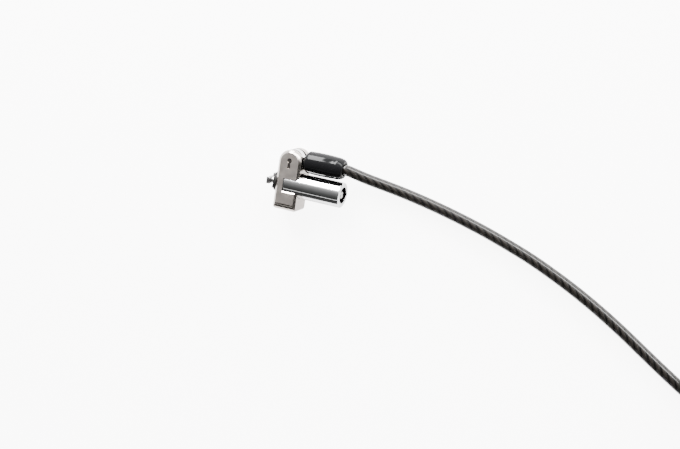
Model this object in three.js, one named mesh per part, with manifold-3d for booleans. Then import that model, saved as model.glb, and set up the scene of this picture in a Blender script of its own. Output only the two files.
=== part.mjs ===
// Laptop cable lock, lying on its back: a zinc head with a tubular key cylinder
// along +X, a steel cable that pivots at the +Y lug, and the coiled rest of the cable.
// Millimetres, +Z up. The origin is under the middle of the head, on the table.
import * as THREE from 'three';
import { mergeVertices } from 'three/addons/utils/BufferGeometryUtils.js';
import Module from 'manifold-3d';

const wasm = await Module();
wasm.setup();

// Head casting: a block with a rounded lug at its +Y end
const HEAD = { left: -11.55, right: -1.75, bottom: -12.825, thick: 11, corner: 1.4 };
const LUG = { x: -6.65, y: 7.325, radius: 4.9 };
const FRONT_CHAMFER = 1;
const BACK_CHAMFER = 0.4;
const BOTTOM_ROUND = 3.2;
const PIVOT = { x: -6.65, y: 8.125 };

// Key cylinder, on one axis along X; it shows through a window in the front face
const AXIS = { y: -2.075, z: 6.1 };
const BARREL = { back: -8, front: 16.3, radius: 5.15, chamber: 4.35, keyway: 3.35, rim: 0.45 };
const CHANNEL = { back: -8.3, radius: 5.3 };
const LIP = { low: -5.3, high: -2, slope: 0.65 };
const WINDOW = { top: 0.55, corner: 1.6, floor: 9.2 };
const SHEAR = { block: 5.8, flange: 6.0 };
const BLOCK = { back: -4.9, radius: 4.2, bore: 1.6 };
const ROTOR = { back: -6.15, shaft: 1.5, flange: 4.2, flangeFront: 8.8, tip: 15.9, post: 1.45 };
const SHOULDER_X = 9;
const PIN = { count: 7, pitch: 45, circle: 2.55, hole: 0.65, radius: 0.52, well: -1.9 };
const KEY_PIN_LENGTHS = [3.3, 4.0, 3.5, 4.3, 3.7, 3.4, 4.1];
const DRIVER_PIN_LENGTH = 3;
const SPRING = { coil: 0.36, wire: 0.1, turns: 4, gap: 0.15 };
const CROSS_PIN = { x: -3.6, radius: 0.75, hole: 0.95, bottom: 0.2, top: 3 };
const KEY_NOTCH = { deep: 6, half: 0.6, reach: 4.3 };

// Nose that goes into the slot of a computer
const SHAFT = { radius: 1.3, bore: 1.6, flange: 2.4, flangeBack: -7.85, flangeFront: -6.45 };
const TONGUE = { front: -4.7, wide: 2.6, thick: 0.9, slotBottom: -4.4, slot: 1.2 };
const TEE = { tip: -16.3, back: -15, long: 6.6, wide: 2.7 };
const SHIELD = { back: -10.5, front: -11.4, radius: 3.4, seat: 3.6, seatBack: -10.35 };
const PRONG = { tip: -14.45, inner: 1.8, outer: 3.1, high: 2.4 };
const COLLAR = { back: -11.65, front: -13.05, radius: 4, slotWide: 6.8, slotHigh: 3 };

// Cable pivot and swivel
const EYE = { low: 4.3, high: 6.9, radius: 4.1, bore: 1.65, neck: 1.7, neckEnd: -1.75 };
const CLEVIS = { low: 3.35, high: 7.85, radius: 4.3, openBelow: 1.95 };
const WASHER = { inner: 1.7, outer: 3.2, thick: 0.75, gap: 0.1 };
const PIVOT_PIN = { radius: 1.45, hole: 1.6, top: 9.5, holeTop: 9.8, head: 2.1, headTop: 1.1, low: 0.3 };
const STUD = { radius: 1.45, headBack: 3.6, headFront: 4.9, head: 2.3 };
const SOCKET = { back: 0.1, lipFront: 3.1, chamberFront: 5.6, wallFront: 6.8, front: 12.6 };
const SOCKET_RADII = { outer: 3.5, lip: 1.8, chamber: 2.6, cable: 2.55 };
const BOOT = { back: -1.45, front: 15.3, radius: 4.7, cone: 1.15, neck: 3.6, end: 3.2 };
const BOOT_BORE = { eye: 2.0, socket: 3.7, cable: 2.6, back: -0.2, front: 12.9 };

// Cable: the swivel's axis height, the free stretch, the coil and the crimped loop
const CABLE_RADIUS = 2.25;
const EYE_Z = (EYE.low + EYE.high) / 2;
const CABLE_ROUTE = [
  [7.1, 8.125, 5.6], [15.5, 8.125, 5.6], [18.5, 7.65, 5.3], [23, 6.6, 4.55], [28, 5.6, 3.65],
  [34, 4.55, 2.7], [42, 3.2, 2.3], [52, 1.3, 2.3], [62, -0.95, 2.3], [73, -3.8, 2.3],
  [83, -6.85, 2.3], [94, -10.6, 2.3], [104, -14.7, 2.3], [114, -19.3, 2.3], [124, -24.5, 2.3],
  [134, -30.3, 2.3], [144, -36.6, 2.3], [154, -42.8, 2.3], [164, -48.6, 2.3], [174, -53.9, 2.3],
];
const COIL = { x: 204, y: -32, low: 0.9, mean: 27, band: 13.9, high: 13.9, edge: 1.8 };
const TIE = { angles: [180, 340], wide: 7, thick: 0.7, under: 0.15, gap: 0.45 };
const LOOP_Z = COIL.low + COIL.high + TIE.gap + TIE.thick + 0.15 + CABLE_RADIUS;
const TAIL_ROUTE = [
  [179.2, -17.8, LOOP_Z], [177.1, -23.4, LOOP_Z], [176.7, -27.3, LOOP_Z], [177.3, -32.2, LOOP_Z],
  [179.3, -36.8, LOOP_Z], [182.3, -40.7, LOOP_Z], [186.2, -43.8, LOOP_Z], [190.8, -45.7, LOOP_Z],
  [195.4, -46.3, LOOP_Z],
];
const SLEEVE = { x: 195.7, y: -46.3, long: 13, wide: 9.8, high: 5.6, edge: 0.4 };
const LOOP_SIDE = [
  [0, 2.35], [1.5, 2.38], [6, 3.5], [13, 7.2], [21, 10.9], [29.5, 12.2], [36, 10.6], [40.4, 6.2],
];
const LOOP_FAR = 41.8;

const STEEL = { color: 0xb9bcc0, roughness: 0.3, metalness: 1 };
const CHROME = { color: 0xd9dcdf, roughness: 0.08, metalness: 1 };
const NICKEL = { color: 0xa39b93, roughness: 0.38, metalness: 1 };
const BRASS = { color: 0xc2a35a, roughness: 0.35, metalness: 1 };
const BLACK_PLASTIC = { color: 0x111112, roughness: 0.18, metalness: 0 };
const BLACK_RUBBER = { color: 0x19191a, roughness: 0.75, metalness: 0 };
const JACKET = { color: 0x4a4643, roughness: 0.2, metalness: 0.1 };

const ROUND = 32;
const SMALL_ROUND = 12;
const BEYOND = 30;
const lock = new THREE.Group();

// --- helpers: closed geometry, booleans and placed meshes ---

function welded(geometry) {
  const bare = geometry.clone();
  bare.deleteAttribute('normal');
  bare.deleteAttribute('uv');
  const merged = mergeVertices(bare, 1e-4);
  const at = merged.attributes.position;
  const corner = (i) => new THREE.Vector3().fromBufferAttribute(at, i);
  const triangles = [];
  let volume = 0;
  for (let i = 0; i < merged.index.count; i += 3) {
    const [a, b, c] = [0, 1, 2].map((k) => merged.index.getX(i + k));
    if (a === b || b === c || c === a) continue;
    triangles.push([a, b, c]);
    volume += corner(a).dot(corner(b).cross(corner(c)));
  }
  if (volume < 0) triangles.forEach((t) => t.reverse());
  return { vertices: new Float32Array(at.array), triangles: new Uint32Array(triangles.flat()) };
}

function solid(geometry) {
  const { vertices, triangles } = welded(geometry);
  const mesh = new wasm.Mesh({ numProp: 3, vertProperties: vertices, triVerts: triangles });
  return new wasm.Manifold(mesh);
}

function add(name, shape, finish, parent = lock) {
  const mesh = shape.getMesh();
  const geometry = new THREE.BufferGeometry();
  geometry.setAttribute('position', new THREE.BufferAttribute(mesh.vertProperties, mesh.numProp));
  geometry.setIndex(new THREE.BufferAttribute(mesh.triVerts, 1));
  geometry.computeVertexNormals();
  const placed = new THREE.Mesh(geometry, new THREE.MeshStandardMaterial(finish));
  placed.name = name;
  parent.add(placed);
}

// A turned piece on an axis along X: the profile is a list of [x, radius].
function turned(profile, y, z, segments = ROUND) {
  const points = profile.map(([x, r]) => new THREE.Vector2(r, x));
  const geometry = new THREE.LatheGeometry(points, segments);
  geometry.rotateZ(-Math.PI / 2);
  geometry.translate(0, y, z);
  return solid(geometry);
}

// A turned piece on an upright axis: the profile is a list of [z, radius].
function upright(profile, x, y, segments = ROUND) {
  const points = profile.map(([z, r]) => new THREE.Vector2(r, z));
  const geometry = new THREE.LatheGeometry(points, segments);
  geometry.rotateX(Math.PI / 2);
  geometry.translate(x, y, 0);
  return solid(geometry);
}

const rod = (x0, x1, r, y, z, n) => turned([[x0, 0], [x0, r], [x1, r], [x1, 0]], y, z, n);
const post = (z0, z1, r, x, y, n) => upright([[z0, 0], [z0, r], [z1, r], [z1, 0]], x, y, n);
const closed = (profile) => [...profile, profile[0]];

function block(x0, x1, y0, y1, z0, z1) {
  const geometry = new THREE.BoxGeometry(x1 - x0, y1 - y0, z1 - z0);
  geometry.translate((x0 + x1) / 2, (y0 + y1) / 2, (z0 + z1) / 2);
  return solid(geometry);
}

function extruded(shape, depth, chamfer) {
  return new THREE.ExtrudeGeometry(shape, {
    depth: depth - 2 * chamfer,
    bevelEnabled: chamfer > 0,
    bevelThickness: chamfer,
    bevelSize: chamfer,
    bevelOffset: -chamfer,
    bevelSegments: 1,
    curveSegments: 10,
  });
}

// An outline in X and Y, raised from z0 to z1 with a chamfer on both ends.
function slab(shape, z0, z1, chamfer) {
  const geometry = extruded(shape, z1 - z0, chamfer);
  geometry.translate(0, 0, z0 + chamfer);
  return solid(geometry);
}

// An outline in Y and Z, run from x0 to x1 with a chamfer on both ends.
function alongX(shape, x0, x1, chamfer) {
  const geometry = extruded(shape, x1 - x0, chamfer);
  const [x, y, z] = [[1, 0, 0], [0, 1, 0], [0, 0, 1]].map((axis) => new THREE.Vector3(...axis));
  geometry.applyMatrix4(new THREE.Matrix4().makeBasis(y, z, x));
  geometry.translate(x0 + chamfer, 0, 0);
  return solid(geometry);
}

function tube(points, radius, sides, steps) {
  const path = new THREE.CatmullRomCurve3(points.map((p) => new THREE.Vector3(...p)));
  return tubeAlong(path, radius, sides, steps);
}

function tubeAlong(path, radius, sides, steps) {
  const section = new THREE.Shape();
  for (let i = 0; i < sides; i += 1) {
    const turn = (2 * Math.PI * i) / sides;
    const corner = [radius * Math.cos(turn), radius * Math.sin(turn)];
    if (i === 0) section.moveTo(...corner);
    else section.lineTo(...corner);
  }
  return solid(new THREE.ExtrudeGeometry(section, { steps, extrudePath: path }));
}

// Where pin number i stands around the key cylinder's axis; the eighth place is empty.
function pinPlace(i) {
  const turn = THREE.MathUtils.degToRad(PIN.pitch * (i + 1));
  return [AXIS.y + PIN.circle * Math.sin(turn), AXIS.z - PIN.circle * Math.cos(turn)];
}

// --- head ---

function headOutline() {
  const corner = HEAD.corner;
  const shape = new THREE.Shape();
  shape.moveTo(HEAD.left + corner, HEAD.bottom);
  shape.lineTo(HEAD.right - corner, HEAD.bottom);
  shape.absarc(HEAD.right - corner, HEAD.bottom + corner, corner, -Math.PI / 2, 0);
  shape.lineTo(HEAD.right, LUG.y);
  shape.absarc(LUG.x, LUG.y, LUG.radius, 0, Math.PI);
  shape.lineTo(HEAD.left, HEAD.bottom + corner);
  shape.absarc(HEAD.left + corner, HEAD.bottom + corner, corner, Math.PI, 1.5 * Math.PI);
  return shape;
}

// The waste outside the rounded edge between the bottom side and the front face.
function bottomRoundWaste() {
  const [y, z] = [HEAD.bottom + BOTTOM_ROUND, HEAD.thick - BOTTOM_ROUND];
  const shape = new THREE.Shape();
  shape.moveTo(HEAD.bottom, z);
  shape.absarc(y, z, BOTTOM_ROUND, Math.PI, Math.PI / 2, true);
  shape.lineTo(y, HEAD.thick + 1);
  shape.lineTo(HEAD.bottom - 1, HEAD.thick + 1);
  shape.lineTo(HEAD.bottom - 1, z);
  return alongX(shape, -BEYOND, BEYOND, 0);
}

// The waste over the sloping lip along the lower side of the window.
function lipWaste() {
  const drop = (LIP.high - LIP.low) * LIP.slope;
  const shape = new THREE.Shape();
  shape.moveTo(LIP.low, HEAD.thick);
  shape.lineTo(LIP.high, HEAD.thick - drop);
  shape.lineTo(LIP.high, HEAD.thick + 1);
  shape.lineTo(LIP.low, HEAD.thick + 1);
  return alongX(shape, CHANNEL.back, BEYOND, 0);
}

// The waste outside the rounded corner of the lug beside the window.
function windowCornerWaste() {
  const { top, corner } = WINDOW;
  const shape = new THREE.Shape();
  shape.moveTo(HEAD.right - corner, top);
  shape.absarc(HEAD.right - corner, top + corner, corner, -Math.PI / 2, 0);
  shape.lineTo(HEAD.right + 1, top + corner);
  shape.lineTo(HEAD.right + 1, top - 1);
  shape.lineTo(HEAD.right - corner, top - 1);
  return slab(shape, AXIS.z, HEAD.thick + 1, 0);
}

function lockBody() {
  const half = HEAD.thick / 2;
  let body = slab(headOutline(), 0, half + 1, BACK_CHAMFER);
  body = body.add(slab(headOutline(), half - 2, HEAD.thick, FRONT_CHAMFER));
  body = body.subtract(bottomRoundWaste()).subtract(lipWaste()).subtract(windowCornerWaste());
  body = body.subtract(rod(CHANNEL.back, BEYOND, CHANNEL.radius, AXIS.y, AXIS.z));
  body = body.subtract(block(CHANNEL.back, BEYOND, AXIS.y, WINDOW.top, WINDOW.floor, BEYOND));
  body = body.subtract(rod(-BEYOND, 0, SHAFT.bore, AXIS.y, AXIS.z, 24));
  body = body.subtract(rod(-BEYOND, SHIELD.seatBack, SHIELD.seat, AXIS.y, AXIS.z));
  body = body.subtract(post(CLEVIS.low, CLEVIS.high, CLEVIS.radius, PIVOT.x, PIVOT.y, 48));
  const openFrom = PIVOT.y - CLEVIS.openBelow;
  body = body.subtract(block(PIVOT.x, BEYOND, openFrom, BEYOND, CLEVIS.low, CLEVIS.high));
  body = body.subtract(block(-BEYOND, PIVOT.x, PIVOT.y, BEYOND, CLEVIS.low, CLEVIS.high));
  body = body.subtract(post(-1, PIVOT_PIN.holeTop, PIVOT_PIN.hole, PIVOT.x, PIVOT.y, 24));
  body = body.subtract(post(-1, PIVOT_PIN.headTop + 0.2, PIVOT_PIN.head + 0.2, PIVOT.x, PIVOT.y, 24));
  body = body.subtract(post(-1, AXIS.z, CROSS_PIN.hole, CROSS_PIN.x, AXIS.y, SMALL_ROUND));
  return body;
}

// --- key cylinder ---

function barrelShell() {
  const { back, front, radius, chamber, keyway, rim } = BARREL;
  const profile = [
    [back, chamber], [back, radius - 0.3], [back + 0.3, radius], [front - rim, radius],
    [front - 0.13, radius - 0.13], [front, radius - rim], [front, keyway + 0.2],
    [front - 0.2, keyway], [SHOULDER_X, keyway], [SHOULDER_X, chamber],
  ];
  const { deep, half, reach } = KEY_NOTCH;
  const keyNotch = block(
    front - deep, BEYOND, AXIS.y - half, AXIS.y + half, AXIS.z - reach, AXIS.z - keyway + 1,
  );
  const shell = turned(closed(profile), AXIS.y, AXIS.z).subtract(keyNotch);
  return shell.subtract(post(-1, AXIS.z, CROSS_PIN.hole, CROSS_PIN.x, AXIS.y, SMALL_ROUND));
}

function pinBlock() {
  const profile = [
    [BLOCK.back, BLOCK.bore], [BLOCK.back, BLOCK.radius],
    [SHEAR.block, BLOCK.radius], [SHEAR.block, BLOCK.bore],
  ];
  let shape = turned(closed(profile), AXIS.y, AXIS.z);
  for (let i = 0; i < PIN.count; i += 1) {
    const [y, z] = pinPlace(i);
    shape = shape.subtract(rod(PIN.well, SHEAR.block + 1, PIN.hole, y, z, SMALL_ROUND));
  }
  const socket = post(-1, CROSS_PIN.top + 0.3, CROSS_PIN.hole, CROSS_PIN.x, AXIS.y, SMALL_ROUND);
  return shape.subtract(socket);
}

function rotor() {
  const { back, shaft, flange, flangeFront, tip } = ROTOR;
  let shape = turned([
    [back, 0], [back, shaft], [SHEAR.flange, shaft], [SHEAR.flange, flange],
    [flangeFront, flange], [flangeFront, ROTOR.post], [tip - 0.3, ROTOR.post],
    [tip, ROTOR.post - 0.3], [tip, 0],
  ], AXIS.y, AXIS.z);
  for (let i = 0; i < PIN.count; i += 1) {
    const [y, z] = pinPlace(i);
    shape = shape.subtract(rod(SHEAR.flange - 1, flangeFront + 1, PIN.hole, y, z, SMALL_ROUND));
  }
  const halfSlot = TONGUE.slot / 2;
  const slot = block(back - 1, TONGUE.slotBottom, AXIS.y - halfSlot, AXIS.y + halfSlot, 0, BEYOND);
  const driveNotch = block(tip - 4, BEYOND, AXIS.y - 0.45, AXIS.y + 0.45, AXIS.z - 2, AXIS.z - 0.9);
  return shape.subtract(slot).subtract(driveNotch);
}

function keyPin(i) {
  const [y, z] = pinPlace(i);
  const front = SHEAR.flange + KEY_PIN_LENGTHS[i];
  const r = PIN.radius;
  const profile = [[SHEAR.flange, 0], [SHEAR.flange, r], [front - 0.3, r], [front, r / 2], [front, 0]];
  return turned(profile, y, z, SMALL_ROUND);
}

function driverPin(i) {
  const [y, z] = pinPlace(i);
  return rod(SHEAR.block - DRIVER_PIN_LENGTH, SHEAR.block, PIN.radius, y, z, SMALL_ROUND);
}

class Helix extends THREE.Curve {
  constructor(x0, x1, y, z) {
    super();
    Object.assign(this, { x0, x1, y, z });
  }

  getPoint(t) {
    const turn = 2 * Math.PI * SPRING.turns * t;
    return new THREE.Vector3(
      this.x0 + (this.x1 - this.x0) * t,
      this.y + SPRING.coil * Math.cos(turn),
      this.z + SPRING.coil * Math.sin(turn),
    );
  }
}

function pinSpring(i) {
  const [y, z] = pinPlace(i);
  const low = PIN.well + SPRING.gap + SPRING.wire;
  const high = SHEAR.block - DRIVER_PIN_LENGTH - SPRING.gap - SPRING.wire;
  return tubeAlong(new Helix(low, high, y, z), SPRING.wire, 4, SPRING.turns * 6);
}

// --- nose ---

function teeBar() {
  let shape = turned([
    [TEE.back - 0.5, 0], [TEE.back - 0.5, SHAFT.radius], [SHAFT.flangeBack, SHAFT.radius],
    [SHAFT.flangeBack, SHAFT.flange], [SHAFT.flangeFront, SHAFT.flange], [SHAFT.flangeFront, 0],
  ], AXIS.y, AXIS.z, 24);
  const halfWide = TEE.wide / 2;
  const halfLong = TEE.long / 2;
  shape = shape.add(block(
    TEE.tip, TEE.back, AXIS.y - halfWide, AXIS.y + halfWide, AXIS.z - halfLong, AXIS.z + halfLong,
  ));
  return shape.add(block(
    SHAFT.flangeFront - 0.5, TONGUE.front, AXIS.y - TONGUE.thick / 2, AXIS.y + TONGUE.thick / 2,
    AXIS.z - TONGUE.wide / 2, AXIS.z + TONGUE.wide / 2,
  ));
}

function noseShield() {
  const profile = [
    [SHIELD.front, SHAFT.bore], [SHIELD.front, SHIELD.radius],
    [SHIELD.back, SHIELD.radius], [SHIELD.back, SHAFT.bore],
  ];
  let shape = turned(closed(profile), AXIS.y, AXIS.z, 24);
  for (const side of [-1, 1]) {
    const edges = [AXIS.y + side * PRONG.inner, AXIS.y + side * PRONG.outer];
    shape = shape.add(block(
      PRONG.tip, SHIELD.back - 0.3, Math.min(...edges), Math.max(...edges),
      AXIS.z - PRONG.high / 2, AXIS.z + PRONG.high / 2,
    ));
  }
  return shape;
}

function noseCollar() {
  const ring = rod(COLLAR.front, COLLAR.back, COLLAR.radius, AXIS.y, AXIS.z);
  const halfWide = COLLAR.slotWide / 2;
  const halfHigh = COLLAR.slotHigh / 2;
  return ring.subtract(block(
    -BEYOND, 0, AXIS.y - halfWide, AXIS.y + halfWide, AXIS.z - halfHigh, AXIS.z + halfHigh,
  ));
}

// --- cable pivot, swivel and boot ---

function cableEye() {
  let shape = post(EYE.low, EYE.high, EYE.radius, PIVOT.x, PIVOT.y);
  shape = shape.add(block(
    PIVOT.x, EYE.neckEnd, PIVOT.y - EYE.neck, PIVOT.y + EYE.neck, EYE.low, EYE.high,
  ));
  shape = shape.add(turned([
    [EYE.neckEnd - 1, 0], [EYE.neckEnd - 1, STUD.radius], [STUD.headBack, STUD.radius],
    [STUD.headBack, STUD.head], [STUD.headFront, STUD.head], [STUD.headFront, 0],
  ], PIVOT.y, EYE_Z, 24));
  return shape.subtract(post(0, BEYOND, EYE.bore, PIVOT.x, PIVOT.y, 24));
}

function washer(low) {
  const profile = [
    [low, WASHER.inner], [low, WASHER.outer],
    [low + WASHER.thick, WASHER.outer], [low + WASHER.thick, WASHER.inner],
  ];
  return upright(closed(profile), PIVOT.x, PIVOT.y, 32);
}

function pivotPin() {
  const { radius, top, head, headTop, low } = PIVOT_PIN;
  return upright([
    [low, 0], [low, head - 0.3], [low + 0.3, head], [headTop, head],
    [headTop, radius], [top - 0.3, radius], [top, radius - 0.3], [top, 0],
  ], PIVOT.x, PIVOT.y, 24);
}

function swivelSocket() {
  const { back, lipFront, chamberFront, wallFront, front } = SOCKET;
  const { outer, lip, chamber, cable } = SOCKET_RADII;
  return turned([
    [chamberFront, 0], [chamberFront, chamber], [lipFront, chamber], [lipFront, lip],
    [back, lip], [back, outer], [front - 0.4, outer], [front, outer - 0.4],
    [front, cable], [wallFront, cable], [wallFront, 0],
  ], PIVOT.y, EYE_Z, 28);
}

function boot() {
  const { back, front, radius, cone, neck, end } = BOOT;
  const nose = radius - end;
  const rounding = [0, 30, 60, 90].map((degrees) => {
    const turn = THREE.MathUtils.degToRad(degrees);
    return [front - 2.4 * nose + 2.4 * nose * Math.sin(turn), end + nose * Math.cos(turn)];
  });
  const profile = [
    [back, BOOT_BORE.eye], [back, neck], [back + cone, radius], ...rounding,
    [front, BOOT_BORE.cable], [BOOT_BORE.front, BOOT_BORE.cable],
    [BOOT_BORE.front, BOOT_BORE.socket], [BOOT_BORE.back, BOOT_BORE.socket],
    [BOOT_BORE.back, BOOT_BORE.eye],
  ];
  return turned(closed(profile), PIVOT.y, EYE_Z);
}

// --- cable ---

function cableCoil() {
  const { mean, band, edge, low } = COIL;
  const [inner, outer, high] = [mean - band / 2, mean + band / 2, low + COIL.high];
  return upright(closed([
    [low, inner + edge], [low, outer - edge], [low + edge, outer], [high - edge, outer],
    [high, outer - edge], [high, inner + edge], [high - edge, inner], [low + edge, inner],
  ]), COIL.x, COIL.y, 32);
}

// A flat band wrapped once around the bundle of turns.
function coilTie(degrees) {
  const across = COIL.band / 2 + TIE.gap;
  const [low, high] = [COIL.low - TIE.under, COIL.low + COIL.high + TIE.gap];
  const layer = (grow, halfWide) => block(
    COIL.mean - across - grow, COIL.mean + across + grow,
    -halfWide, halfWide, low - grow, high + grow,
  );
  const band = layer(TIE.thick, TIE.wide / 2).subtract(layer(0, TIE.wide));
  return band.rotate([0, 0, degrees]).translate([COIL.x, COIL.y, 0]);
}

// The crimped sleeve that closes the loop: two cables lie side by side in its oval.
function loopSleeve() {
  const round = SLEEVE.high / 2;
  const side = SLEEVE.wide / 2 - round;
  const shape = new THREE.Shape();
  shape.absarc(SLEEVE.y + side, LOOP_Z, round, -Math.PI / 2, Math.PI / 2);
  shape.absarc(SLEEVE.y - side, LOOP_Z, round, Math.PI / 2, 1.5 * Math.PI);
  return alongX(shape, SLEEVE.x, SLEEVE.x + SLEEVE.long, SLEEVE.edge);
}

function cableLoop() {
  const otherSide = LOOP_SIDE.map(([along, aside]) => [along, -aside]).reverse();
  const start = SLEEVE.x + SLEEVE.long + 0.3;
  const points = [...LOOP_SIDE, [LOOP_FAR, 0], ...otherSide].map(
    ([along, aside]) => [start + along, SLEEVE.y + aside, LOOP_Z],
  );
  return tube(points, CABLE_RADIUS, 10, 26);
}

// --- assembly ---

add('lock_body', lockBody(), NICKEL);
add('barrel_shell', barrelShell(), CHROME);
add('pin_block', pinBlock(), BRASS);
add('key_rotor', rotor(), STEEL);
for (let i = 0; i < PIN.count; i += 1) {
  add(`key_pin_${i + 1}`, keyPin(i), BRASS);
  add(`driver_pin_${i + 1}`, driverPin(i), STEEL);
  add(`pin_spring_${i + 1}`, pinSpring(i), STEEL);
}
add('barrel_cross_pin', post(
  CROSS_PIN.bottom, CROSS_PIN.top, CROSS_PIN.radius, CROSS_PIN.x, AXIS.y, SMALL_ROUND,
), STEEL);
add('tee_bar', teeBar(), STEEL);
add('nose_shield', noseShield(), STEEL);
add('nose_collar', noseCollar(), BLACK_RUBBER);
add('cable_eye', cableEye(), CHROME);
add('eye_washer_front', washer(CLEVIS.high - WASHER.gap - WASHER.thick), STEEL);
add('eye_washer_back', washer(CLEVIS.low + WASHER.gap), STEEL);
add('pivot_pin', pivotPin(), STEEL);
add('swivel_socket', swivelSocket(), STEEL);
add('cable_boot', boot(), BLACK_PLASTIC);
add('cable_lead', tube(CABLE_ROUTE, CABLE_RADIUS, 10, 30), JACKET);
add('cable_coil', cableCoil(), JACKET);
TIE.angles.forEach((degrees, i) => add(`coil_tie_${i + 1}`, coilTie(degrees), BLACK_RUBBER));
add('cable_tail', tube(TAIL_ROUTE, CABLE_RADIUS, 10, 8), JACKET);
add('loop_sleeve', loopSleeve(), STEEL);
add('cable_loop', cableLoop(), JACKET);

export default lock;
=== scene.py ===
# %% [markdown]
# A laptop cable lock lies on its back on a pale table: a small metal head with a round key
# cylinder, and a steel cable that leaves it through a glossy swivel sleeve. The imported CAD
# model is the fixed frame. It says where every piece is and how it moves, and this lesson
# gives each piece its real surface. Everything is modelled in millimetres, because small
# numbers such as 0.0001 m are awkward to read and to bevel, and is scaled to metres at the
# end of each piece.

# %% Load the frame
import math

import bmesh
import bpy
from mathutils import Matrix, Quaternion, Vector


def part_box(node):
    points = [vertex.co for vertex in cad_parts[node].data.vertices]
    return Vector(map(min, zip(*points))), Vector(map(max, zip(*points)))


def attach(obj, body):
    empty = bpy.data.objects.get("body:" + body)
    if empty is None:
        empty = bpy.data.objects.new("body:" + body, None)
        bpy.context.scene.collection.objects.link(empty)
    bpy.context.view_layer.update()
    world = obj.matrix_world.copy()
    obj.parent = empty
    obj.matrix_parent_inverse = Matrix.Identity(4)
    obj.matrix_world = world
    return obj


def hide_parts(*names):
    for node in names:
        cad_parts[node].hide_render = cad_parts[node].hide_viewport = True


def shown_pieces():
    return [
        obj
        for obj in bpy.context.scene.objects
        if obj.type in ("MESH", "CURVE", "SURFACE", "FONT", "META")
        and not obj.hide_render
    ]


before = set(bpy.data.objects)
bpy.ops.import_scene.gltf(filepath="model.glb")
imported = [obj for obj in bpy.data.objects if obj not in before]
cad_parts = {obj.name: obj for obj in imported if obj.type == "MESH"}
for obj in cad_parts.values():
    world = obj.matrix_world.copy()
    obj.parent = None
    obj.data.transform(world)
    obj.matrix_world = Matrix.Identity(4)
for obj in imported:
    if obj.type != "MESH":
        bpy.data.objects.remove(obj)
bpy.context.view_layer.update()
MM = 0.001


def box(node):
    """The lowest and highest corner of a CAD node, in millimetres."""
    low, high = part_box(node)
    return low / MM, high / MM


def middle(node):
    low, high = box(node)
    return (low + high) / 2


print("CAD nodes:", len(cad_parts))

# %% [markdown]
# The camera is a long lens held above the keyhole end and turned a little, so that the badge
# face, the side of the key cylinder and its end ring all show.

# %% Camera
CAMERA_PLACE = (0.194, 0.09905, 0.48316)
CAMERA_TURN = (-9.226, 21.995, 9.107)
CAMERA_LENS = 68.69
SENSOR_WIDTH = 36

camera_data = bpy.data.cameras.new("camera")
camera_data.lens = CAMERA_LENS
camera_data.sensor_width = SENSOR_WIDTH
camera = bpy.data.objects.new("camera", camera_data)
camera.location = CAMERA_PLACE
camera.rotation_euler = [math.radians(angle) for angle in CAMERA_TURN]
bpy.context.scene.collection.objects.link(camera)
bpy.context.scene.camera = camera
print("camera", CAMERA_PLACE)

# %% [markdown]
# The cable is settled before anything else, because its length is a fact. A lock of this
# kind has 1.8 m of 4.5 mm cable. A steel core makes it stiff, so it leaves the sleeve
# straight, sinks to the table within 30 mm and then runs in one long curve. The rest is wound
# into a round coil of nearly nine turns, three wide and three high, and the end climbs on top
# of the coil to the crimped loop. The free stretch is a short list of points, and the turns
# come from a loop.

# %% The cable's route
CABLE_WIDE = 4.5
CABLE_ROUTE = [
    (7.1, 8.125, 5.6), (15.5, 8.125, 5.6), (18.5, 7.65, 5.3), (23, 6.6, 4.55), (28, 5.6, 3.65),
    (34, 4.55, 2.7), (42, 3.2, 2.3), (52, 1.3, 2.3), (62, -0.95, 2.3), (73, -3.8, 2.3),
    (83, -6.85, 2.3), (94, -10.6, 2.3), (104, -14.7, 2.3), (114, -19.3, 2.3), (124, -24.5, 2.3),
    (134, -30.3, 2.3), (144, -36.6, 2.3), (154, -42.8, 2.3), (164, -48.6, 2.3), (174, -53.9, 2.3),
    (184, -58.5, 2.6),
]
LOOP_HEIGHT = middle("cable_loop").z
TAIL_ROUTE = [
    (179.2, -17.8), (177.1, -23.4), (176.7, -27.3), (177.3, -32.2), (179.3, -36.8),
    (182.3, -40.7), (186.2, -43.8), (190.8, -45.7), (195.4, -46.3),
]
COIL_CENTRE = middle("cable_coil")
COIL_MEAN = 27
COIL_TURNS = 8.7
COIL_START = -107.5
CHANGE_FROM = 0.68
CLIMB_FROM, CLIMB_TURNS, CLIMB_RADIUS = 8.3, 0.4, 28.6
CABLE_STEP, LOOP_STEP = 1.9, 1.5
TURN_PITCH = 4.65
FIRST_LAYER = 3.2
TURN_PLACES = [(1, 0), (0, 0), (-1, 0), (-1, 1), (0, 1), (1, 1), (1, 2), (0, 2), (-1, 2)]
POINTS_PER_TURN = 36


def ease(share):
    """A smooth step from 0 to 1."""
    share = min(1.0, max(0.0, share))
    return share * share * (3 - 2 * share)


def coil_points():
    """The coil's turns: each keeps its place for two thirds of a turn, then moves to the next."""
    places = [(COIL_MEAN + TURN_PITCH * i, FIRST_LAYER + TURN_PITCH * k) for i, k in TURN_PLACES]
    points = []
    for i in range(int(POINTS_PER_TURN * COIL_TURNS)):
        turn = i / POINTS_PER_TURN
        here = int(turn)
        after = min(here + 1, len(places) - 1)
        moved = ease((turn - here - CHANGE_FROM) / (1 - CHANGE_FROM))
        radius = places[here][0] * (1 - moved) + places[after][0] * moved
        height = places[here][1] * (1 - moved) + places[after][1] * moved
        climb = ease((turn - CLIMB_FROM) / CLIMB_TURNS)
        radius += (CLIMB_RADIUS - radius) * climb
        height += (LOOP_HEIGHT - height) * climb
        angle = math.radians(COIL_START + 360 * turn)
        across, up = radius * math.cos(angle), radius * math.sin(angle)
        points.append((COIL_CENTRE.x + across, COIL_CENTRE.y + up, height))
    return points


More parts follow.
